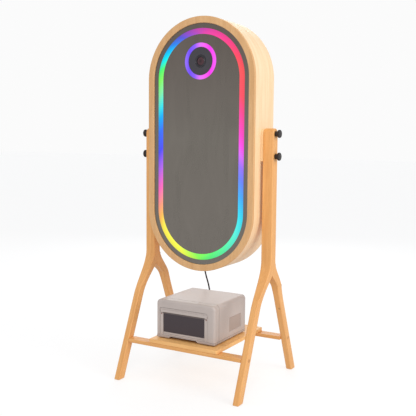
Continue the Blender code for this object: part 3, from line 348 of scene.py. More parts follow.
def circle(u, v, radius, steps):
    return arc(u, v, radius, 0.0, 2 * math.pi, steps)[:-1]


def rounded(low, high, radius, corners="all", steps=8):
    """A rectangle's loop with rounded corners, or with only its upper two rounded."""
    quarter = math.pi / 2
    loop = []
    for turn, (su, sv) in enumerate(((1, 1), (-1, 1), (-1, -1), (1, -1))):
        u = high[0] if su > 0 else low[0]
        v = high[1] if sv > 0 else low[1]
        if corners == "upper" and sv < 0:
            loop.append((u, v))
        else:
            centre = (u - su * radius, v - sv * radius)
            loop += arc(*centre, radius, turn * quarter, (turn + 1) * quarter, steps)
    return loop


def opened(mesh):
    """A mesh's own copy to edit."""
    cage = bmesh.new()
    cage.from_mesh(mesh)
    return cage


def written(cage, mesh):
    """Write an edit into a mesh and let the edit go."""
    cage.to_mesh(mesh)
    cage.free()
    return mesh


def shaped(cage, name):
    """An edit as a new object."""
    return add(name, written(cage, bpy.data.meshes.new(name)))


def weld(mesh):
    cage = opened(mesh)
    bmesh.ops.remove_doubles(cage, verts=cage.verts, dist=WELD)
    bmesh.ops.recalc_face_normals(cage, faces=cage.faces)
    written(cage, mesh)


def as_mesh(source, name):
    """An object with its modifiers applied, in world space; the source is removed."""
    bpy.context.view_layer.update()
    seen = source.evaluated_get(bpy.context.evaluated_depsgraph_get())
    mesh = bpy.data.meshes.new_from_object(seen)
    mesh.transform(source.matrix_world)
    bpy.data.objects.remove(source)
    weld(mesh)
    mesh.materials.clear()
    mesh.name = name
    return add(name, mesh)


def outline(name, plane, loops, low, high):
    """A flat outline, with inner loops as holes, from low to high along the third axis."""
    curve = bpy.data.curves.new(name, "CURVE")
    curve.dimensions = "2D"
    curve.fill_mode = "BOTH"
    curve.extrude = (high - low) / 2
    for points in loops:
        spline = curve.splines.new("POLY")
        spline.points.add(len(points) - 1)
        for target, (u, v) in zip(spline.points, points):
            target.co = (u, v, 0.0, 1.0)
        spline.use_cyclic_u = True
    source = add(name + "_curve", curve)
    middle = (low + high) / 2
    shift = {"XZ": (0, middle, 0), "YZ": (middle, 0, 0), "XY": (0, 0, middle)}[plane]
    source.matrix_world = Matrix.Translation(shift) @ PLANE_TURN[plane]
    return as_mesh(source, name)


def block(name, low, high):
    """A box between two corners."""
    low, high = Vector(low), Vector(high)
    cage = bmesh.new()
    bmesh.ops.create_cube(cage, size=1.0, matrix=Matrix.Diagonal((*(high - low), 1.0)))
    bmesh.ops.translate(cage, verts=cage.verts, vec=(low + high) / 2)
    return shaped(cage, name)


def turned(name, profile, centre, pointing, steps=48):
    """A solid of revolution: (radius, height) from top to bottom, +Z turned to pointing."""
    mesh = bpy.data.meshes.new(name)
    points = [(radius, 0.0, height) for radius, height in profile]
    mesh.from_pydata(points, [(i, i + 1) for i in range(len(points) - 1)], [])
    made = add(name, mesh)
    screw = made.modifiers.new("turn", "SCREW")
    screw.axis = "Z"
    screw.steps = screw.render_steps = steps
    screw.use_merge_vertices = True
    screw.merge_threshold = WELD
    made.matrix_world = Matrix.Translation(centre) @ towards(pointing)
    return as_mesh(made, name)


def cut(piece, *cutters, operation="DIFFERENCE"):
    """Boolean a piece with cutters, which are then removed."""
    for cutter in cutters:
        step = piece.modifiers.new("cut", "BOOLEAN")
        step.operation = operation
        step.solver = "EXACT"
        step.object = cutter
        piece = as_mesh(piece, piece.name)
        bpy.data.objects.remove(cutter)
    return piece


def ring(name, outer, inner, front, back, edge, steps=3):
    """A flat ring between two matched loops in XZ, with rounded edges all round.

    Its points hold how far they are across the ring, from the outer loop to the inner one.
    """
    cage = bmesh.new()
    across = cage.verts.layers.float.new("across")
    sections = []
    for (u0, v0), (u1, v1) in zip(outer, inner):
        width = math.hypot(u1 - u0, v1 - v0)
        section = []
        for w, y in rounded((0.0, front), (width, back), edge, steps=steps):
            share = w / width
            vertex = cage.verts.new((u0 + (u1 - u0) * share, y, v0 + (v1 - v0) * share))
            vertex[across] = share
            section.append(vertex)
        sections.append(section)
    for section, following in zip(sections, sections[1:] + sections[:1]):
        for j in range(len(section)):
            k = (j + 1) % len(section)
            cage.faces.new((section[j], section[k], following[k], following[j]))
    bmesh.ops.recalc_face_normals(cage, faces=cage.faces)
    return shaped(cage, name)


def merged(name, pieces):
    """Several objects as the loose parts of one."""
    cage = bmesh.new()
    for piece in pieces:
        cage.from_mesh(piece.data)
        bpy.data.objects.remove(piece)
    return shaped(cage, name)


def round_edges(piece, width, segments=3, shortest=0.0, angle=SHARP, chosen=None):
    """Round a piece's sharp edges; edges shorter than the shortest stay, so small holes do."""
    cage = opened(piece.data)
    bmesh.ops.dissolve_limit(
        cage, angle_limit=math.radians(0.6), verts=cage.verts, edges=cage.edges, delimit=set(),
    )
    sharp = [
        edge for edge in cage.edges
        if len(edge.link_faces) == 2 and edge.calc_face_angle() > math.radians(angle)
        and edge.calc_length() >= shortest and (chosen is None or chosen(edge))
    ]
    bmesh.ops.bevel(
        cage, geom=sharp, offset=width, offset_type="OFFSET", segments=segments, profile=0.5,
        affect="EDGES", clamp_overlap=shortest == 0.0,
    )
    written(cage, piece.data)
    return piece


def eased(name, low, high, width, segments=2):
    """A box between two corners, with rounded edges."""
    return round_edges(block(name, low, high), width, segments)


def smooth(piece, angle=CREASE):
    """Smooth shading that keeps flat faces flat."""
    piece.data.shade_smooth()
    piece.data.set_sharp_from_angle(angle=math.radians(angle))
    piece.modifiers.new("even normals", "WEIGHTED_NORMAL").keep_sharp = True


def dress(piece, look, *nodes, body=None, slot=None, angle=CREASE):
    """Give a piece its finish and its body, and let it stand for its CAD nodes."""
    smooth(piece, angle)
    piece.data.materials.clear()
    piece.data.materials.append(look)
    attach(piece, body or BODY_OF[nodes[0]])
    if nodes:
        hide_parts(*nodes)


def fit_out(name, pieces, look, node):
    """Fittings that are added to a node: they ride on its body."""
    dress(merged(name, pieces), look, body=BODY_OF[node], slot=node)


def copy_of(node):
    """A node's own solid, as a new mesh to refine."""
    mesh = frame["nodes"][node].data.copy()
    mesh.name = node + "_finish"
    weld(mesh)
    mesh.materials.clear()
    return add(node + "_finish", mesh)


def refined(node, look, width, segments=3, shortest=0.0):
    """A node's own solid with its edges rounded and its finish on."""
    dress(round_edges(copy_of(node), width, segments, shortest), look, node)


def centre_of(node):
    """The middle of a node's box."""
    return tuple((a + b) / 2 for a, b in zip(*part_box(node)))


# ---- Data cable: its route is fixed by the gland, the rear of the printer and the plug

CABLE_RADIUS = 0.0035
CABLE_POINTS = 40
CABLE_ROUTE = (
    (-0.120, 0.1133, 0.610),
    (-0.120, 0.135, 0.609),
    (-0.121, 0.162, 0.592),
    (-0.126, 0.180, 0.552),
    (-0.131, 0.189, 0.490),
    (-0.127, 0.195, 0.425),
    (-0.112, 0.201, 0.365),
    (-0.103, 0.204, 0.310),
    (-0.100, 0.196, 0.278),
    (-0.100, 0.178, 0.2705),
    (-0.100, 0.1606, 0.270),
)


def smooth_route(points, count):
    """Evenly counted points on a Catmull-Rom curve through the route."""
    points = [Vector(p) for p in points]
    ends = [2 * points[0] - points[1]] + points + [2 * points[-1] - points[-2]]
    spans = len(points) - 1
    result = []
    for i in range(count + 1):
        place = i / count * spans
        span = min(int(place), spans - 1)
        t = place - span
        a, b, c, d = ends[span:span + 4]
        result.append(0.5 * (
            2 * b + (c - a) * t + (2 * a - 5 * b + 4 * c - d) * t**2
            + (3 * b - a - 3 * c + d) * t**3
        ))
    return result


def data_cable():
    curve = bpy.data.curves.new("cable_core", "CURVE")
    curve.dimensions = "3D"
    curve.bevel_depth = CABLE_RADIUS
    curve.bevel_resolution = 6
    curve.use_fill_caps = True
    points = smooth_route(CABLE_ROUTE, CABLE_POINTS)
    spline = curve.splines.new("POLY")
    spline.points.add(len(points) - 1)
    for target, point in zip(spline.points, points):
        target.co = (*point, 1.0)
    spline.use_smooth = True
    made = as_mesh(add("cable_core", curve), "data_cable_finish")
    smooth(made)
    made.data.materials.append(plastic("cable_jacket", "261512", 0.65, 700.0, shine=0.08))
    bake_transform(made)
    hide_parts("data_cable")


def cable_plug():
    """The moulded connector with a ribbed, tapering boot."""
    low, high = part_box("cable_plug")
    x, _, z = centre_of("cable_plug")
    boot_start = low.y + 0.030
    reach = high.y - boot_start
    shell = eased("plug_shell", low, (high.x, boot_start, high.z), 0.002, 4)
    inset = 0.0028
    grip = [
        eased("plug_grip", (low.x + inset, y, low.z - GAP),
              (high.x - inset, y + 0.0014, high.z + GAP), 0.0004)
        for y in (low.y + 0.012 + 0.004 * i for i in range(4))
    ]
    ribs = 6
    profile = [(0.0, reach)]
    for i in range(ribs):
        far = reach - reach * i / ribs
        near = far - 0.0026
        radius = CABLE_RADIUS + 0.0009 + 0.0012 * i / ribs
        neck = radius - 0.0007
        profile += [(radius, far), (radius, near), (neck, near - 0.0002), (neck, near - 0.0008)]
    profile += [(0.0055, 0.0), (0.0055, -0.002), (0.0, -0.002)]
    boot = turned("plug_boot", profile, (x, boot_start, z), (0, 1, 0), 32)
    look = plastic("plug_plastic", "2b2320", 0.45)
    dress(merged("cable_plug_finish", [shell, boot] + grip), look, "cable_plug")


def cable_gland():
    """The gland: a hexagonal base, a ribbed dome nut and a soft lip."""
    x, _, z = centre_of("cable_gland")
    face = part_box("cable_gland")[0].y + 0.014
    place = (x, face, z)
    hexagon = circle(x, z, 0.0095, 6)
    base = round_edges(outline("gland_base", "XZ", [hexagon], face + GAP, face + 0.006), 0.0006, 2)
    dome = turned("gland_dome", [
        (0.0, 0.0155), (0.0042, 0.0155), (0.0046, 0.016), (0.0052, 0.0157), (0.0064, 0.0142),
        (0.0073, 0.0122), (0.0078, 0.0098), (0.0079, 0.0062), (0.0079, 0.0055), (0.0, 0.0055),
    ], place, (0, 1, 0))
    profile = [(0.0, 0.0004), (0.0058, 0.0004), (0.0058, -0.0136), (0.0, -0.0136)]
    tail = turned("gland_tail", profile, place, (0, 1, 0))
    ribs = []
    for i in range(12):
        rib = eased("gland_rib", (-0.0006, 0.0062, 0.0074), (0.0006, 0.0115, 0.0084), 0.0003)
        rib.data.transform(Matrix.Translation(place) @ Matrix.Rotation(math.tau * i / 12, 4, "Y"))
        ribs.append(rib)
    look = plastic("gland_plastic", "26211f", 0.5)
    dress(merged("cable_gland_finish", [base, dome, tail] + ribs), look, "cable_gland")


# ---- Stand

BEND_TOP = 0.55
BEND_END = 0.39
SPLAY = 0.418
FOOT_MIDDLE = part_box("left_leg")[1].y - 0.0205
BRANCH_SHIFT = 0.3  # keeps the grain of the rear branch unlike that of the front one
KNOT = ((0.303, 0.113, 0.316), 0.008)


def bend_offset(z):
    """How far a leg's branch has left the post's middle line at a height."""
    t = min(1.0, max(0.0, (BEND_TOP - z) / (BEND_TOP - BEND_END)))
    return (FOOT_MIDDLE - SPLAY * min(z, BEND_END)) * t * t * (3 - 2 * t)


def mark_grain(piece, place_of):
    """Store the place in the wood, across and along its grain, for each of a mesh's points."""
    mesh = piece.data
    attribute = mesh.attributes.new("grain", "FLOAT_VECTOR", "POINT")
    for vertex, item in zip(mesh.vertices, attribute.data):
        item.vector = place_of(vertex.co)


def slice_up(piece, low, high, count):
    """Cut a mesh across at even heights, so that what is stored at its points follows its shape."""
    cage = opened(piece.data)
    for i in range(1, count):
        at = (0.0, 0.0, low + (high - low) * i / count)
        geometry = cage.verts[:] + cage.edges[:] + cage.faces[:]
        bmesh.ops.bisect_plane(cage, geom=geometry, plane_co=at, plane_no=(0, 0, 1), dist=0.000001)
    written(cage, piece.data)


def leg(node, shade):
    """A wishbone with eased edges, whose grain follows the bend into each branch."""
    piece = round_edges(copy_of(node), 0.0038, 4, 0.003)
    slice_up(piece, 0.30, 0.60, 20)
    mark_grain(piece, lambda co: (
        co.x + shade, abs(co.y) - bend_offset(co.z) + (BRANCH_SHIFT if co.y > 0 else 0.0), co.z,
    ))
    dress(piece, wood(node + "_wood", LEG_LIGHT, LEG_DARK, attribute="grain", knots=(KNOT,)), node)


def rail_bolt(node, side):
    """A bolt under a flush wooden plug with a turned ring around it."""
    low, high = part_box(node)
    _, y, z = centre_of(node)
    radius = (high.z - low.z) / 2
    length = high.x - low.x
    piece = turned(node + "_finish", [
        (0.0, -0.0004), (radius * 0.80, -0.0004), (radius * 0.84, -0.0012), (radius * 0.88, -0.0012),
        (radius * 0.92, -0.0002), (radius - 0.0002, -0.0004), (radius - 0.0001, -0.0050),
        (0.0030, -0.0050), (0.0030, -length), (0.0, -length),
    ], (high.x if side > 0 else low.x, y, z), (side, 0, 0))
    dress(piece, wood(node + "_wood", "d99a5c", "b87d44"), node)


def stand():
    leg("left_leg", 0.0)
    leg("right_leg", 5.0)
    for rail in ("front_rail", "rear_rail"):
        refined(rail, wood(rail + "_wood", LEG_LIGHT, LEG_DARK, "X"), 0.0022, 3, 0.004)
    low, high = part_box("shelf_board")
    loop = rounded((low.x, low.y), (high.x, high.y), 0.009)
    shelf = outline("shelf_board_finish", "XY", [loop], low.z, high.z)
    look = wood("shelf_wood", "fdc983", "e7a962", "X", contrast=1.2)
    dress(round_edges(shelf, 0.0022, 3), look, "shelf_board")
    for row in ("front", "rear"):
        for side in ("left", "right"):
            rail_bolt(f"rail_bolt_{row}_{side}", -1 if side == "left" else 1)


# ---- Tilt clamps

GRIP_BACK = -0.0093
POST_FACE = -0.0228
LOBES = 24
LOBE_STEPS = 6
LOBE_DEPTH = 0.00055


def knob(node, side):
    """A scalloped hand knob with a raised rim, a domed cap and a moulded stud."""
    low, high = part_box(node)
    _, y, z = centre_of(node)
    grip_radius = (high.z - low.z) / 2
    face = high.x if side > 0 else low.x
    place = (face, y, z)
    length = high.x - low.x
    loop = []
    for i in range(LOBES * LOBE_STEPS):
        angle = math.tau * i / (LOBES * LOBE_STEPS)
        radius = grip_radius - LOBE_DEPTH * (1 - math.cos(LOBES * angle))
        loop.append((y + radius * math.cos(angle), z + radius * math.sin(angle)))
    ends = sorted((face - side * 0.0012, face + side * GRIP_BACK))
    grip = round_edges(outline("knob_grip", "YZ", [loop], *ends), 0.0011, 3, 0.0, 50)
    cap = turned("knob_cap", [
        (0.0, 0.0), (0.0050, -0.0001), (0.0088, -0.0005), (0.0098, -0.0013), (0.0106, -0.0013),
        (0.0114, -0.0004), (0.0136, -0.0003), (0.0146, -0.0010), (0.0149, -0.0020), (0.0, -0.0020),
    ], place, (side, 0, 0))
    neck = turned("knob_neck", [
        (0.0, GRIP_BACK + 0.001), (0.0137, GRIP_BACK + 0.0004), (0.0125, GRIP_BACK - 0.0012),
        (0.0118, GRIP_BACK - 0.004), (0.0118, POST_FACE + 0.0008), (0.0112, POST_FACE + 0.0002),
        (0.0040, POST_FACE + 0.0002), (0.0040, 0.0006 - length), (0.0034, -length), (0.0, -length),
    ], place, (side, 0, 0))
    look = plastic(node + "_plastic", "231b19", 0.30, 900.0, 0.00005)
    dress(merged(node + "_finish", [grip, cap, neck]), look, node, angle=50)


def clamps():
    for side, word in ((-1, "left"), (1, "right")):
        pad = wood(f"pad_{word}_wood", "ffe2b6", "f3c58c", contrast=0.8)
        refined(f"friction_pad_{word}", pad, 0.0008, 2, 0.004)
        plate = metal(f"plate_{word}_steel", (0.62, 0.62, 0.64), 0.36)
        refined(f"pivot_plate_{word}", plate, 0.0012, 2, 0.004)
        nut = metal(f"nut_{word}_steel", (0.60, 0.57, 0.50), 0.34)
        refined(f"slot_nut_{word}", nut, 0.0006, 2, 0.004)
        knob(f"knob_upper_{word}", side)
        knob(f"knob_lower_{word}", side)


# ---- Mirror head

ARC_STEPS = 72
RING_STEPS = 96
SHELL_LOW, SHELL_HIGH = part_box("housing_shell")
HEAD_RADIUS = (SHELL_HIGH.x - SHELL_LOW.x) / 2
HEAD_MIDDLE = (SHELL_LOW.z + SHELL_HIGH.z) / 2
HEAD_STRAIGHT = (SHELL_HIGH.z - SHELL_LOW.z) / 2 - HEAD_RADIUS
SLOT_WINDOW = ((-0.3, -0.05, 0.93), (0.3, 0.05, 1.16))  # holds the clamps' holes and slots
PANE_EDGE = 0.0004
RIGHT_SIDE = (
    (0.00, "cc48b4"), (0.04, "ec44a8"), (0.12, "ff4290"), (0.19, "ff4c66"), (0.23, "ff585c"),
    (0.33, "ff5468"), (0.38, "ff4c94"), (0.46, "ff4ccc"), (0.50, "ff52ee"), (0.535, "e070ff"),
    (0.575, "9a78ff"), (0.62, "6c88ff"), (0.68, "46b0ff"), (0.75, "38e0fa"), (0.82, "5cf4de"),
    (0.89, "5cf4a4"), (0.95, "5cf47c"), (1.00, "84ff5c"),
)
LEFT_SIDE = (
    (0.00, "cc48b4"), (0.045, "9a4cc8"), (0.08, "5a58dc"), (0.12, "2f86f2"), (0.155, "00c4ff"),
    (0.19, "00f0f4"), (0.225, "50ff72"), (0.265, "84fb64"), (0.31, "84f4a8"), (0.36, "3ce8ec"),
    (0.40, "14b0ff"), (0.45, "3c74ff"), (0.52, "5052fa"), (0.585, "b068f0"), (0.66, "ff6cc0"),
    (0.72, "ff9c84"), (0.765, "ffbc5c"), (0.805, "ffee54"), (0.92, "f8ff50"), (0.96, "c4ff54"),
    (1.00, "84ff5c"),
)
RING_COLOURS = (
    (0.0, "9c74ff"), (0.15, "7450ff"), (0.32, "9060ff"), (0.48, "e878ff"), (0.62, "ff66fa"),
    (0.80, "ff3af2"), (1.0, "ff60ff"),
)
LEAN = 0.012  # how far the colours slant across the band


def pill(offset):
    """The head's outline in XZ, moved inwards by offset."""
    radius = HEAD_RADIUS - offset
    upper = arc(0.0, HEAD_MIDDLE + HEAD_STRAIGHT, radius, 0.0, math.pi, ARC_STEPS)
    lower = arc(0.0, HEAD_MIDDLE - HEAD_STRAIGHT, radius, math.pi, 2 * math.pi, ARC_STEPS)
    return upper + lower


def edge_offset(node):
    """How far a node's outer edge lies inside the head's outline."""
    low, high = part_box(node)
    return HEAD_RADIUS - (high.x - low.x) / 2


def pill_run(co, radius=HEAD_RADIUS):
    """Distance up the outline from the bottom centre to a point, by its angle on the arcs."""
    up = co.z - HEAD_MIDDLE
    over = abs(up) - HEAD_STRAIGHT
    half = radius * math.pi / 2 + HEAD_STRAIGHT
    if over <= 0:
        return half + up
    angle = math.atan2(over, abs(co.x))
    return half + math.copysign(HEAD_STRAIGHT + angle * radius, up)


def pill_drop(co, radius):
    """Share of the way down the band: 0 at the top centre, 1 at the bottom centre."""
    whole = math.pi * radius + 2 * HEAD_STRAIGHT
    return 1.0 - pill_run(co, radius) / whole


def housing():
    """The bent side wall: its grain runs round it, and its clamp holes and slots go through."""
    wall = SHELL_HIGH.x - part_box("pivot_plate_right")[1].x - GAP
    piece = ring("housing_shell_finish", pill(0.0), pill(wall), SHELL_LOW.y, SHELL_HIGH.y, 0.0015)
    around = block("slot_window", *SLOT_WINDOW)
    keep = cut(copy_of("housing_shell"), around, operation="INTERSECT")
    centre = block("slot_fill", (-0.3, -0.0495, 0.9305), (0.3, 0.0495, 1.1595))
    piece = cut(piece, cut(centre, keep))
    mark_grain(piece, lambda co: (math.copysign(2.0, co.x), co.y, pill_run(co)))
    look = wood("bent_maple", "f9dfba", "eec796", attribute="grain", contrast=1.2)
    dress(piece, look, "housing_shell")


def rim():
    low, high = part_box("front_rim")
    width = edge_offset("mirror_border") - GAP
    piece = ring("front_rim_finish", pill(0.0), pill(width), low.y, high.y, 0.0028, 4)
    dress(piece, wood("rim_wood", "e6b883", "cf9d67"), "front_rim")


def panes():
    """The mirror's border, its middle, and the band and ring of light between them."""
    low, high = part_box("mirror_border")
    ends = (low.y, high.y)
    nodes = ("mirror_border", "light_band", "mirror_pane")
    border, band, middle = (edge_offset(node) for node in nodes)
    ring_low, ring_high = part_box("camera_ring")
    ring_radius = (ring_high.x - ring_low.x) / 2
    camera_z = (ring_low.z + ring_high.z) / 2
    mirror = smoked_mirror("smoked_mirror")
    piece = ring("mirror_border_finish", pill(border), pill(band - GAP), *ends, PANE_EDGE)
    dress(piece, mirror, "mirror_border")
    loops = [pill(middle), circle(0.0, camera_z, ring_radius + GAP, RING_STEPS)]
    piece = outline("mirror_pane_finish", "XZ", loops, *ends)
    dress(round_edges(piece, PANE_EDGE, 2), mirror, "mirror_pane")
    piece = ring("light_band_finish", pill(band), pill(middle - GAP), *ends, PANE_EDGE)
    radius = HEAD_RADIUS - (band + middle) / 2
    mark_grain(piece, lambda co: (co.x, pill_drop(co, radius), co.z))
    dress(piece, band_light(), "light_band")
    window = (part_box("camera_window")[1].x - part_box("camera_window")[0].x) / 2
    loops = [circle(0.0, camera_z, r, RING_STEPS) for r in (ring_radius, window + GAP)]
    piece = ring("camera_ring_finish", *loops, *ends, PANE_EDGE)
    dress(piece, ring_light(ring_radius), "camera_ring")
    camera_eye(*ends, camera_z, window)


def opal(name):
    """Lit opal glass in the making: a glossy, nearly black face for the light to show through."""
    look = Look(name, 0.5)
    look.colour(OPAL_BLACK)
    look.shader.inputs["Emission Strength"].default_value = 1.0
    look.shader.inputs["Specular IOR Level"].default_value = 0.15
    return look


def band_light():
    """The band's colours, one run of them down each side, with the light points just showing."""
    look = opal("band_light")
    parts = look.node("SeparateXYZ", {"Vector": look.place(attribute="grain")}).outputs
    across = look.node("Attribute", attribute_name="across").outputs["Fac"]
    lean = look.math("MULTIPLY_ADD", across, 2 * LEAN, look.math("ADD", parts["Y"], -LEAN))
    sides = [look.ramp(lean, side) for side in (LEFT_SIDE, RIGHT_SIDE)]
    side = look.span(parts["X"], 0.0, 1.0, -0.012, 0.012)
    both = look.node("Mix", data_type="RGBA")
    for slot, value in zip((0, 6, 7), (side, *sides)):
        look.tree.links.new(value, both.inputs[slot])
    points = look.math("SINE", look.math("MULTIPLY", parts["Y"], 900.0))
    flicker = look.span(points, 0.98, 1.02, -1.0, 1.0)
    shade = look.math("MULTIPLY", flicker, look.span(across, 0.90, 1.08))
    look.feed("Emission Color", look.multiply(both.outputs[2], shade))
    return look.material


def ring_light(radius):
    look = opal("ring_light")
    across = look.node("SeparateXYZ", {"Vector": look.place()}).outputs["X"]
    look.feed("Emission Color", look.ramp(look.span(across, 0.0, 1.0, -radius, radius), RING_COLOURS))
    return look.material


def camera_eye(front, back, z, radius):
    """The dark window with its thin rim, the ring of the lens and its coated front glass."""
    lens = 0.0265
    hole = lens + GAP
    glass_radius = 0.0185
    depth = back - front
    place = (0, front, z)

    def part(name, profile):
        return turned(name, profile, place, (0, 1, 0), RING_STEPS)

    window = part("camera_window_finish", [
        (hole, depth - 0.0002), (hole, 0.0018), (lens + 0.0010, 0.0010), (radius - 0.0060, 0.0010),
        (radius - 0.0052, 0.0002), (radius - 0.0006, 0.0), (radius, 0.0006), (radius, depth),
        (hole, depth - 0.0002),
    ])
    dress(window, plastic("window_glass", "3b383f", 0.22, 300.0, 0.00001), "camera_window")
    barrel = part("camera_lens_finish", [
        (0.0, 0.0040), (glass_radius, 0.0040), (0.0188, 0.0012), (0.0200, 0.0008), (0.0215, 0.0024),
        (0.0235, 0.0024), (0.0245, 0.0012), (lens - 0.0002, 0.0012), (lens - 0.0002, 0.0300),
        (0.0, 0.0300),
    ])
    dress(barrel, plastic("lens_barrel", "2e2b31", 0.35, 900.0, 0.00003), "camera_lens")
    glass = part("camera_lens_glass", [
        (0.0, 0.0002), (0.0060, 0.0005), (0.0115, 0.0013), (0.0158, 0.0026), (0.0182, 0.0039),
        (0.0, 0.0039),
    ])
    coating = Look("lens_coating", 0.12)
    share = coating.span(coating.distance((0.0, front, z)), 0.0, 1.0, 0.0, glass_radius)
    stops = ((0.0, "1c1216"), (0.35, "3c1e26"), (0.8, "4a2a32"), (1.0, "2c2026"))
    coating.feed("Base Color", coating.ramp(share, stops))
    dress(glass, coating.material, body="mirror_head", slot="camera_lens")


def head_inside():
    board = wood("fibreboard", "9a7650", "84613e", contrast=0.6, roughness=0.8)
    refined("backing_board", board, 0.0006, 2, 0.003)
    look = Look("led_strip_look", 0.5)
    dots = look.noise(look.place(), 300.0, 2.0)
    look.feed("Base Color", look.ramp(dots, [(0.4, (0.75, 0.75, 0.7)), (0.6, (0.9, 0.9, 0.86))]))
    refined("led_strip", look.material, 0.0003, 2)
    computer()
    power_supply()
    camera_body()


def computer():
    """A fanless computer: a finned lid on a flat case, with a row of ports below."""
    low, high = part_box("computer")
    parts = [eased("computer_case", low, (high.x, high.y - 0.012, high.z), 0.003, 4)]
    side = 0.006
    end = 0.012
    count = 18
    pitch = (high.x - low.x - 2 * side) / count
    for i in range(count):
        left = low.x + side + pitch * (i + 0.25)
        parts.append(eased("fin", (left, high.y - 0.0125, low.z + end),
                           (left + pitch * 0.45, high.y, high.z - end), 0.0008))
    look = plastic("computer_case_look", "2a2a2d", 0.42, 1100.0)
    dress(merged("computer_finish", parts), look, "computer")
    ports = []
    for i, width in enumerate((0.014, 0.014, 0.016, 0.022, 0.009)):
        left = low.x + 0.020 + 0.032 * i
        ports.append(eased("port", (left, low.y + 0.010, low.z - 0.0015),
                           (left + width, low.y + 0.020, low.z + 0.004), 0.0006))
    fit_out("computer_ports", ports, metal("port_steel", (0.66, 0.66, 0.68), 0.3), "computer")


def power_supply():
    """A perforated steel cage around the supply, with its terminal block at the lower end."""
    low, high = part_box("power_supply")
    cage = eased("power_supply_finish", low, high, 0.0015, 3)
    holes = [
        circle(low.x + 0.014 + 0.0144 * column, low.z + 0.045 + 0.012 * row, 0.0035, 6)
        for row in range(9) for column in range(6)
    ]
    cage = cut(cage, outline("supply_vents", "XZ", holes, high.y - 0.0015, high.y + 0.001))
    dress(cage, metal("supply_steel", (0.60, 0.61, 0.62), 0.4), "power_supply")
    top = high.y + 0.008
    blocks = []
    for i in range(5):
        left = low.x + 0.008 + 0.0170 * i
        blocks.append(eased("terminal", (left, high.y - 0.002, low.z + 0.006),
                            (left + 0.0150, top, low.z + 0.026), 0.0010))
        blocks.append(screw_head((left + 0.0075, top, low.z + 0.016), 0.0042))
    fit_out("supply_terminals", blocks, plastic("terminal_plastic", "3a3d40", 0.45), "power_supply")


def camera_body():
    low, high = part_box("camera_body")
    body = eased("camera_case", low, (high.x, high.y - 0.006, high.z), 0.006, 5)
    back = eased("camera_back", (low.x + 0.012, high.y - 0.0065, low.z + 0.020),
                 (high.x - 0.012, high.y, high.z - 0.020), 0.003, 4)
    profile = [(0.0, 0.0245), (0.050, 0.0245), (0.050, -0.001), (0.0, -0.001)]
    place = (0, low.y, (low.z + high.z) / 2)
    body = cut(body, turned("camera_hollow", profile, place, (0, 1, 0), 64))
    look = plastic("camera_plastic", "242327", 0.5, 700.0, 0.0002)
    dress(merged("camera_body_finish", [body, back]), look, "camera_body")


# ---- Rear panel and its fittings


def screw_shape():
    """A pan head of radius 1, with a cross recess."""
    head = turned("screw", [
        (0.0, 0.45), (0.45, 0.436), (0.8, 0.34), (1.0, 0.09), (1.0, -0.05), (0.0, -0.05),
    ], (0, 0, 0), (0, 0, 1), 24)
    arms = [(0.62, 0.14), (0.14, 0.62)]
    head = cut(head, *(block("cross", (-a, -b, 0.2), (a, b, 0.6)) for a, b in arms))
    mesh = head.data
    bpy.data.objects.remove(head)
    return mesh


SCREW = screw_shape()


def screw_head(place, radius):
    """A screw's head at a place, facing the rear."""
    mesh = SCREW.copy()
    mesh.transform(Matrix.Translation(place) @ towards((0, 1, 0)) @ Matrix.Scale(radius, 4))
    return add("screw", mesh)


def inlet_pins(node):
    """The three flat pins inside a mains inlet."""
    low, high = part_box(node)
    x, _, z = centre_of(node)
    pins = [
        eased("pin", (x + dx - 0.001, low.y + 0.0038, z + dz - 0.002),
              (x + dx + 0.001, high.y - 0.004, z + dz + 0.002), 0.0006)
        for dx, dz in ((-0.007, -0.002), (0.0, 0.002), (0.007, -0.002))
    ]
    fit_out(node + "_pins", pins, metal(node + "_pin_steel", (0.75, 0.74, 0.70), 0.25), node)


def panel_screws():
    """Screws that hold the rear panel, evenly round its edge."""
    low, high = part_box("rear_panel")
    radius = HEAD_RADIUS - (edge_offset("rear_panel") + 0.010)
    spots = []
    for step in range(5):
        angle = math.pi * step / 4
        for sign in (1, -1):
            centre = HEAD_MIDDLE + sign * HEAD_STRAIGHT
            spots.append((radius * math.cos(angle), centre + sign * radius * math.sin(angle)))
    spots += [(-radius, HEAD_MIDDLE), (radius, HEAD_MIDDLE)]
    heads = [screw_head((x, high.y, z), 0.0036) for x, z in spots]
    fit_out("panel_screws", heads, metal("panel_screw_steel", (0.60, 0.58, 0.52), 0.3), "rear_panel")


def hinge_screws():
    low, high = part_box("hinge_leaf_door")
    axis_x = JOINT_PLACE["service_door_swing"][0]
    heights = [low.z + (high.z - low.z) * share for share in (0.06, 0.28, 0.5, 0.72, 0.94)]
    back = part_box("rear_panel")[1].y + 0.0018
    for side, node in ((-1, "hinge_leaf_door"), (1, "hinge_leaf_panel")):
        heads = [screw_head((axis_x + side * 0.0125, back, z), 0.0028) for z in heights]
        fit_out(node + "_screws", heads, metal(node + "_screw_steel", (0.66, 0.65, 0.62), 0.28), node)


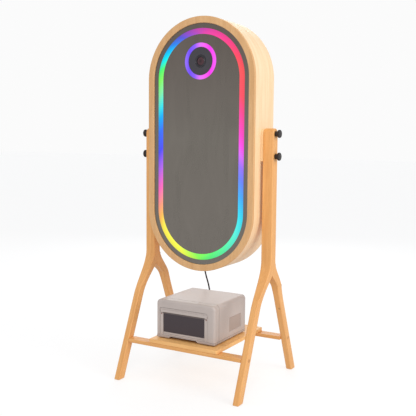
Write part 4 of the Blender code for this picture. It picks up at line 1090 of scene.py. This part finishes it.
def rear():
    refined("rear_panel", wood("panel_veneer", *VENEER, contrast=1.1), 0.0008, 2, 0.004)
    refined("service_door", wood("door_veneer", *VENEER, contrast=1.1), 0.0008, 2, 0.004)
    steel = (0.64, 0.64, 0.66)
    for node in ("hinge_leaf_panel", "hinge_leaf_door"):
        refined(node, metal(node + "_steel", steel, 0.32), 0.0004, 2, 0.0012)
    refined("hinge_pin", metal("hinge_pin_steel", steel, 0.28), 0.0003, 2)
    refined("lock_barrel", metal("lock_barrel_steel", (0.72, 0.72, 0.74), 0.22), 0.0004, 2, 0.0012)
    refined("lock_plug", metal("lock_plug_steel", (0.72, 0.70, 0.66), 0.25), 0.0003, 2, 0.0010)
    black = plastic("fitting_plastic", "201d1c", 0.4)
    refined("head_inlet", black, 0.0008, 3, 0.003)
    refined("switch_frame", black, 0.0006, 3, 0.003)
    refined("power_switch", plastic("rocker_plastic", "2a1c1a", 0.28, 900.0, 0.00004), 0.0007, 3)
    inlet_pins("head_inlet")
    panel_screws()
    hinge_screws()


# ---- Printer

CASE_RADIUS = 0.019
CASE_WALL = 0.004
CASE_LOW, CASE_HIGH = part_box("printer_case")
FASCIA_LOW, FASCIA_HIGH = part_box("printer_fascia")
FLAP_LOW, FLAP_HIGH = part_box("printer_flap")
FLAP_AXIS = Vector(JOINT_PLACE["printer_flap_lift"])
FLAP_LEFT = FLAP_LOW.x + 0.010
FLAP_RIGHT = FLAP_HIGH.x - 0.010
PANEL_SIDE = 0.0175  # how much wider than the flap the fascia's framed panel is, each side
PANEL_RADIUS = 0.009


def tall_box(name, low, high, radius):
    """A box with big round upper edges along Y."""
    loop = rounded((low.x, low.z), (high.x, high.z), radius, "upper", 10)
    return outline(name, "XZ", [loop], low.y, high.y)


def rounded_end(piece, width, segments, floor_z, y, way):
    """Round the edges of a tall box's end at y, which faces along way, except along its foot."""
    return round_edges(piece, width, segments, chosen=lambda edge: all(
        v.co.y * way > y * way - 0.0001 for v in edge.verts
    ) and any(v.co.z > floor_z + 0.001 for v in edge.verts))


def printer_case():
    low, high = CASE_LOW, CASE_HIGH
    piece = rounded_end(tall_box("printer_case_finish", low, high, CASE_RADIUS), 0.009, 5, low.z, high.y, 1)
    inside = tall_box(
        "case_inside", Vector((low.x + CASE_WALL, low.y - PAST, low.z - PAST)),
        Vector((high.x - CASE_WALL, high.y - CASE_WALL, high.z - CASE_WALL)), CASE_RADIUS - CASE_WALL,
    )
    seam_y = FASCIA_LOW.y + 0.037
    depth = 0.0022
    seam = outline("case_seam", "XZ", [
        rounded((low.x - PAST, low.z - PAST), (high.x + PAST, high.z + PAST), 0.02, "upper"),
        rounded((low.x + depth, low.z - 0.005), (high.x - depth, high.z - depth),
                CASE_RADIUS - depth, "upper", 10),
    ], seam_y, seam_y + 0.0030)
    grip_low = low.z + 0.018
    grip = eased("grip", (high.x - 0.0020, -0.050, grip_low), (high.x + PAST, 0.060, grip_low + 0.065),
                 0.0012, 3)
    inlet_low, inlet_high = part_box("printer_inlet")
    trim = 0.0027
    inlet = block("inlet_hole", (inlet_low.x + trim, high.y - 0.02, inlet_low.z + trim),
                  (inlet_high.x - trim, high.y + 0.02, inlet_high.z - trim))
    piece = cut(piece, inside, seam, grip, inlet)
    slots = []
    for i in range(12):
        y = high.y - 0.045 - 0.0075 * i
        slots.append(eased("slot", (low.x - 0.004, y, low.z + 0.070),
                           (low.x + 0.0012, y + 0.003, low.z + 0.120), 0.0008))
    piece = cut(piece, merged("case_vents", slots))
    dress(piece, plastic("case_plastic", BODY_GREY, 0.38), "printer_case")
    plate = eased("grip_plate", (high.x - 0.0022, -0.0475, grip_low + 0.0025),
                  (high.x - 0.0008, 0.0575, grip_low + 0.0625), 0.0004)
    dress(plate, plastic("grip_plastic", "a8978e", 0.5), body="stand", slot="printer_case")


def printer_fascia():
    """The front cover: a shallow framed panel around the flap's pocket, with a hinge bar."""
    low, high = FASCIA_LOW, FASCIA_HIGH
    piece = tall_box("printer_fascia_finish", low, high, CASE_RADIUS)
    piece = rounded_end(piece, 0.0105, 6, low.z, low.y, -1)
    hinge_z = FLAP_AXIS.z
    front = low.y - PAST
    panel_low = (FLAP_LEFT - PANEL_SIDE, low.z - 0.02)
    panel_high = (FLAP_RIGHT + PANEL_SIDE, hinge_z + 0.0250)
    edge = rounded(panel_low, panel_high, PANEL_RADIUS, "upper")
    panel = outline("fascia_panel", "XZ", [edge], front, low.y + 0.0018)
    seam = 0.0016
    inner = rounded((panel_low[0] + seam, panel_low[1] - seam), (panel_high[0] - seam, panel_high[1] - seam),
                    0.0075, "upper")
    groove = outline("fascia_groove", "XZ", [edge, inner], front, low.y + 0.0050)
    pocket = block("pocket", (FLAP_LEFT - 0.0006, front, low.z - PAST),
                   (FLAP_RIGHT + 0.0006, low.y + 0.009, hinge_z + 0.004))
    opening = block("opening", (FLAP_LEFT + 0.006, low.y, low.z - PAST),
                    (FLAP_RIGHT - 0.006, high.y + PAST, hinge_z - 0.012))
    profile = [(0.0, 0.12), (0.0029, 0.12), (0.0029, -0.12), (0.0, -0.12)]
    bores = turned("bores", profile, FLAP_AXIS, (1, 0, 0), 24)
    keep = block("bore_keep", (FLAP_LOW.x - 0.0005, front, hinge_z - 0.01),
                 (FLAP_HIGH.x + 0.0005, high.y, hinge_z + 0.01))
    piece = cut(piece, panel, groove, pocket, opening, cut(bores, keep, operation="INTERSECT"))
    bar = eased("hinge_bar", (FLAP_LEFT - PANEL_SIDE + 0.004, low.y - 0.0012, hinge_z + 0.0045),
                (FLAP_RIGHT + PANEL_SIDE - 0.004, low.y + 0.0030, hinge_z + 0.0165), 0.0012, 3)
    sill = eased("sill", (FLAP_LEFT - 0.0002, low.y + 0.0012, low.z),
                 (FLAP_RIGHT + 0.0002, low.y + 0.007, FLAP_LOW.z - 0.0005), 0.0008)
    look = plastic("fascia_plastic", BODY_GREY, 0.38)
    dress(merged("printer_fascia_finish", [piece, bar, sill]), look, "printer_fascia")
    profile = [(0.0, 0.0012), (0.0020, 0.0010), (0.0030, 0.0002), (0.0030, -0.0010), (0.0, -0.0010)]
    bosses = [
        turned("boss", profile, (x, low.y + 0.0018, hinge_z - 0.003), (0, -1, 0), 24)
        for x in (FLAP_LEFT - 0.0085, FLAP_RIGHT + 0.0085)
    ]
    fit_out("hinge_bosses", bosses, plastic("boss_plastic", "7a4538", 0.35), "printer_fascia")


def printer_flap():
    """A grey board with a dark inlay over a moulded lip, and its hinge pins."""
    low = Vector((FLAP_LEFT, FLAP_AXIS.y - 0.0016, FLAP_LOW.z))
    high = Vector((FLAP_RIGHT, FLAP_AXIS.y + 0.002, FLAP_AXIS.z - 0.001))
    lip = 0.0085
    groove = block("groove", (low.x - PAST, low.y - PAST, low.z + lip - 0.0016),
                   (high.x + PAST, low.y + 0.0009, low.z + lip))
    board = cut(eased("printer_flap_finish", low, high, 0.0009, 3), groove)
    dress(board, plastic("flap_plastic", BODY_GREY, 0.38), "printer_flap")
    look = Look("flap_inlay", 0.5)
    grain = look.noise(look.place(), 420.0, 3.0, 0.7)
    look.feed("Base Color", look.ramp(grain, [(0.3, "30262a"), (0.7, "463b40")]))
    look.feed("Roughness", look.vary(grain, 0.42, 0.6))
    look.bump(grain, 0.0003, 0.6)
    inlay = eased("flap_inlay", (low.x + 0.0006, low.y - 0.0004, low.z + lip),
                  (high.x - 0.0006, low.y + 0.0014, high.z - 0.0006), 0.0005)
    dress(inlay, look.material, body="printer_flap", slot="printer_flap")
    half = FLAP_HIGH.x - FLAP_AXIS.x
    pins = turned("printer_flap_pins", [
        (0.0, half), (0.0020, half), (0.0024, half - 0.0006), (0.0024, 0.0006 - half),
        (0.0020, -half), (0.0, -half),
    ], FLAP_AXIS, (1, 0, 0), 24)
    dress(pins, plastic("pin_plastic", "6f6462", 0.35), body="printer_flap", slot="printer_flap")


def mirrored(profile):
    """A profile's upper half, then the same again upside down."""
    return profile + [(radius, -height) for radius, height in reversed(profile)]


def roll(node, look, core, core_look):
    """A wound roll: its spiral shows at the ends as fine steps, on a core with an axle."""
    low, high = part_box(node)
    centre = centre_of(node)
    radius = (high.z - low.z) / 2
    half = (high.x - low.x) / 2
    body = half - 0.006
    turns = 14
    profile = [(core * 0.9, body - 0.001), (core, body)]
    for i in range(1, turns + 1):
        at = core + (radius - core) * i / turns
        depth = 0.0003 if i % 2 else 0.0
        profile += [(at - 0.0002, body - depth), (at, body - depth)]
    wound = turned(node + "_finish", mirrored(profile) + profile[:1], centre, (1, 0, 0), 72)
    dress(wound, look, node)
    shoulder = body + 0.0012
    axle = turned(node + "_axle", mirrored([
        (0.0, half), (0.0034, half), (0.0040, half - 0.0006), (0.0040, shoulder), (core * 0.88, shoulder),
    ]), centre, (1, 0, 0), 48)
    dress(axle, core_look, body=node, slot=node)


def printer_tray():
    """The base: its front lip is cut away in the middle, where prints slide out."""
    low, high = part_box("printer_tray")
    left = CASE_LOW.x + 0.064
    right = CASE_LOW.x + 0.212
    under = low.z - PAST
    top = low.z + 0.0085
    slant = 0.008
    loop = [(left, under), (right, under), (right, low.z), (right - slant, top), (left + slant, top),
            (left, low.z)]
    notch = outline("notch", "XZ", [loop], low.y - PAST, low.y + 0.140)
    base = cut(eased("printer_tray_finish", low, high, 0.0030, 4), notch)
    dress(base, plastic("tray_plastic", "b0a49f", 0.42), "printer_tray")


def printer_inside():
    refined("printer_chassis", metal("chassis_steel", (0.60, 0.60, 0.62), 0.42), 0.0008, 2, 0.004)
    refined("print_head", metal("print_head_steel", (0.5, 0.5, 0.52), 0.38, "X"), 0.0015, 3)
    core = plastic("spool_core", "d8d2c8", 0.45)
    roll("paper_roll", plastic("paper", "f1eee8", 0.8, 500.0), 0.012, core)
    roll("ribbon_supply", plastic("ribbon_film", "7c2a38", 0.25, 300.0), 0.008, core)
    roll("ribbon_takeup", plastic("used_film", "2c2a50", 0.25, 300.0), 0.007, core)
    refined("platen_roller", plastic("platen_rubber", "26282a", 0.7), 0.0006, 2)


def printer():
    printer_case()
    printer_fascia()
    printer_flap()
    printer_inside()
    printer_tray()
    refined("printer_inlet", plastic("inlet_plastic", "201d1c", 0.4), 0.0008, 3, 0.003)
    inlet_pins("printer_inlet")
    rubber = plastic("foot_rubber", "1c1a1a", 0.8, 600.0)
    for row in ("front", "rear"):
        for side in ("left", "right"):
            refined(f"printer_foot_{row}_{side}", rubber, 0.0010, 3)


for step in (
    camera, studio, floor, cable_plug, cable_gland, data_cable, stand, clamps, housing, rim, panes,
    head_inside, rear, printer,
):
    step()
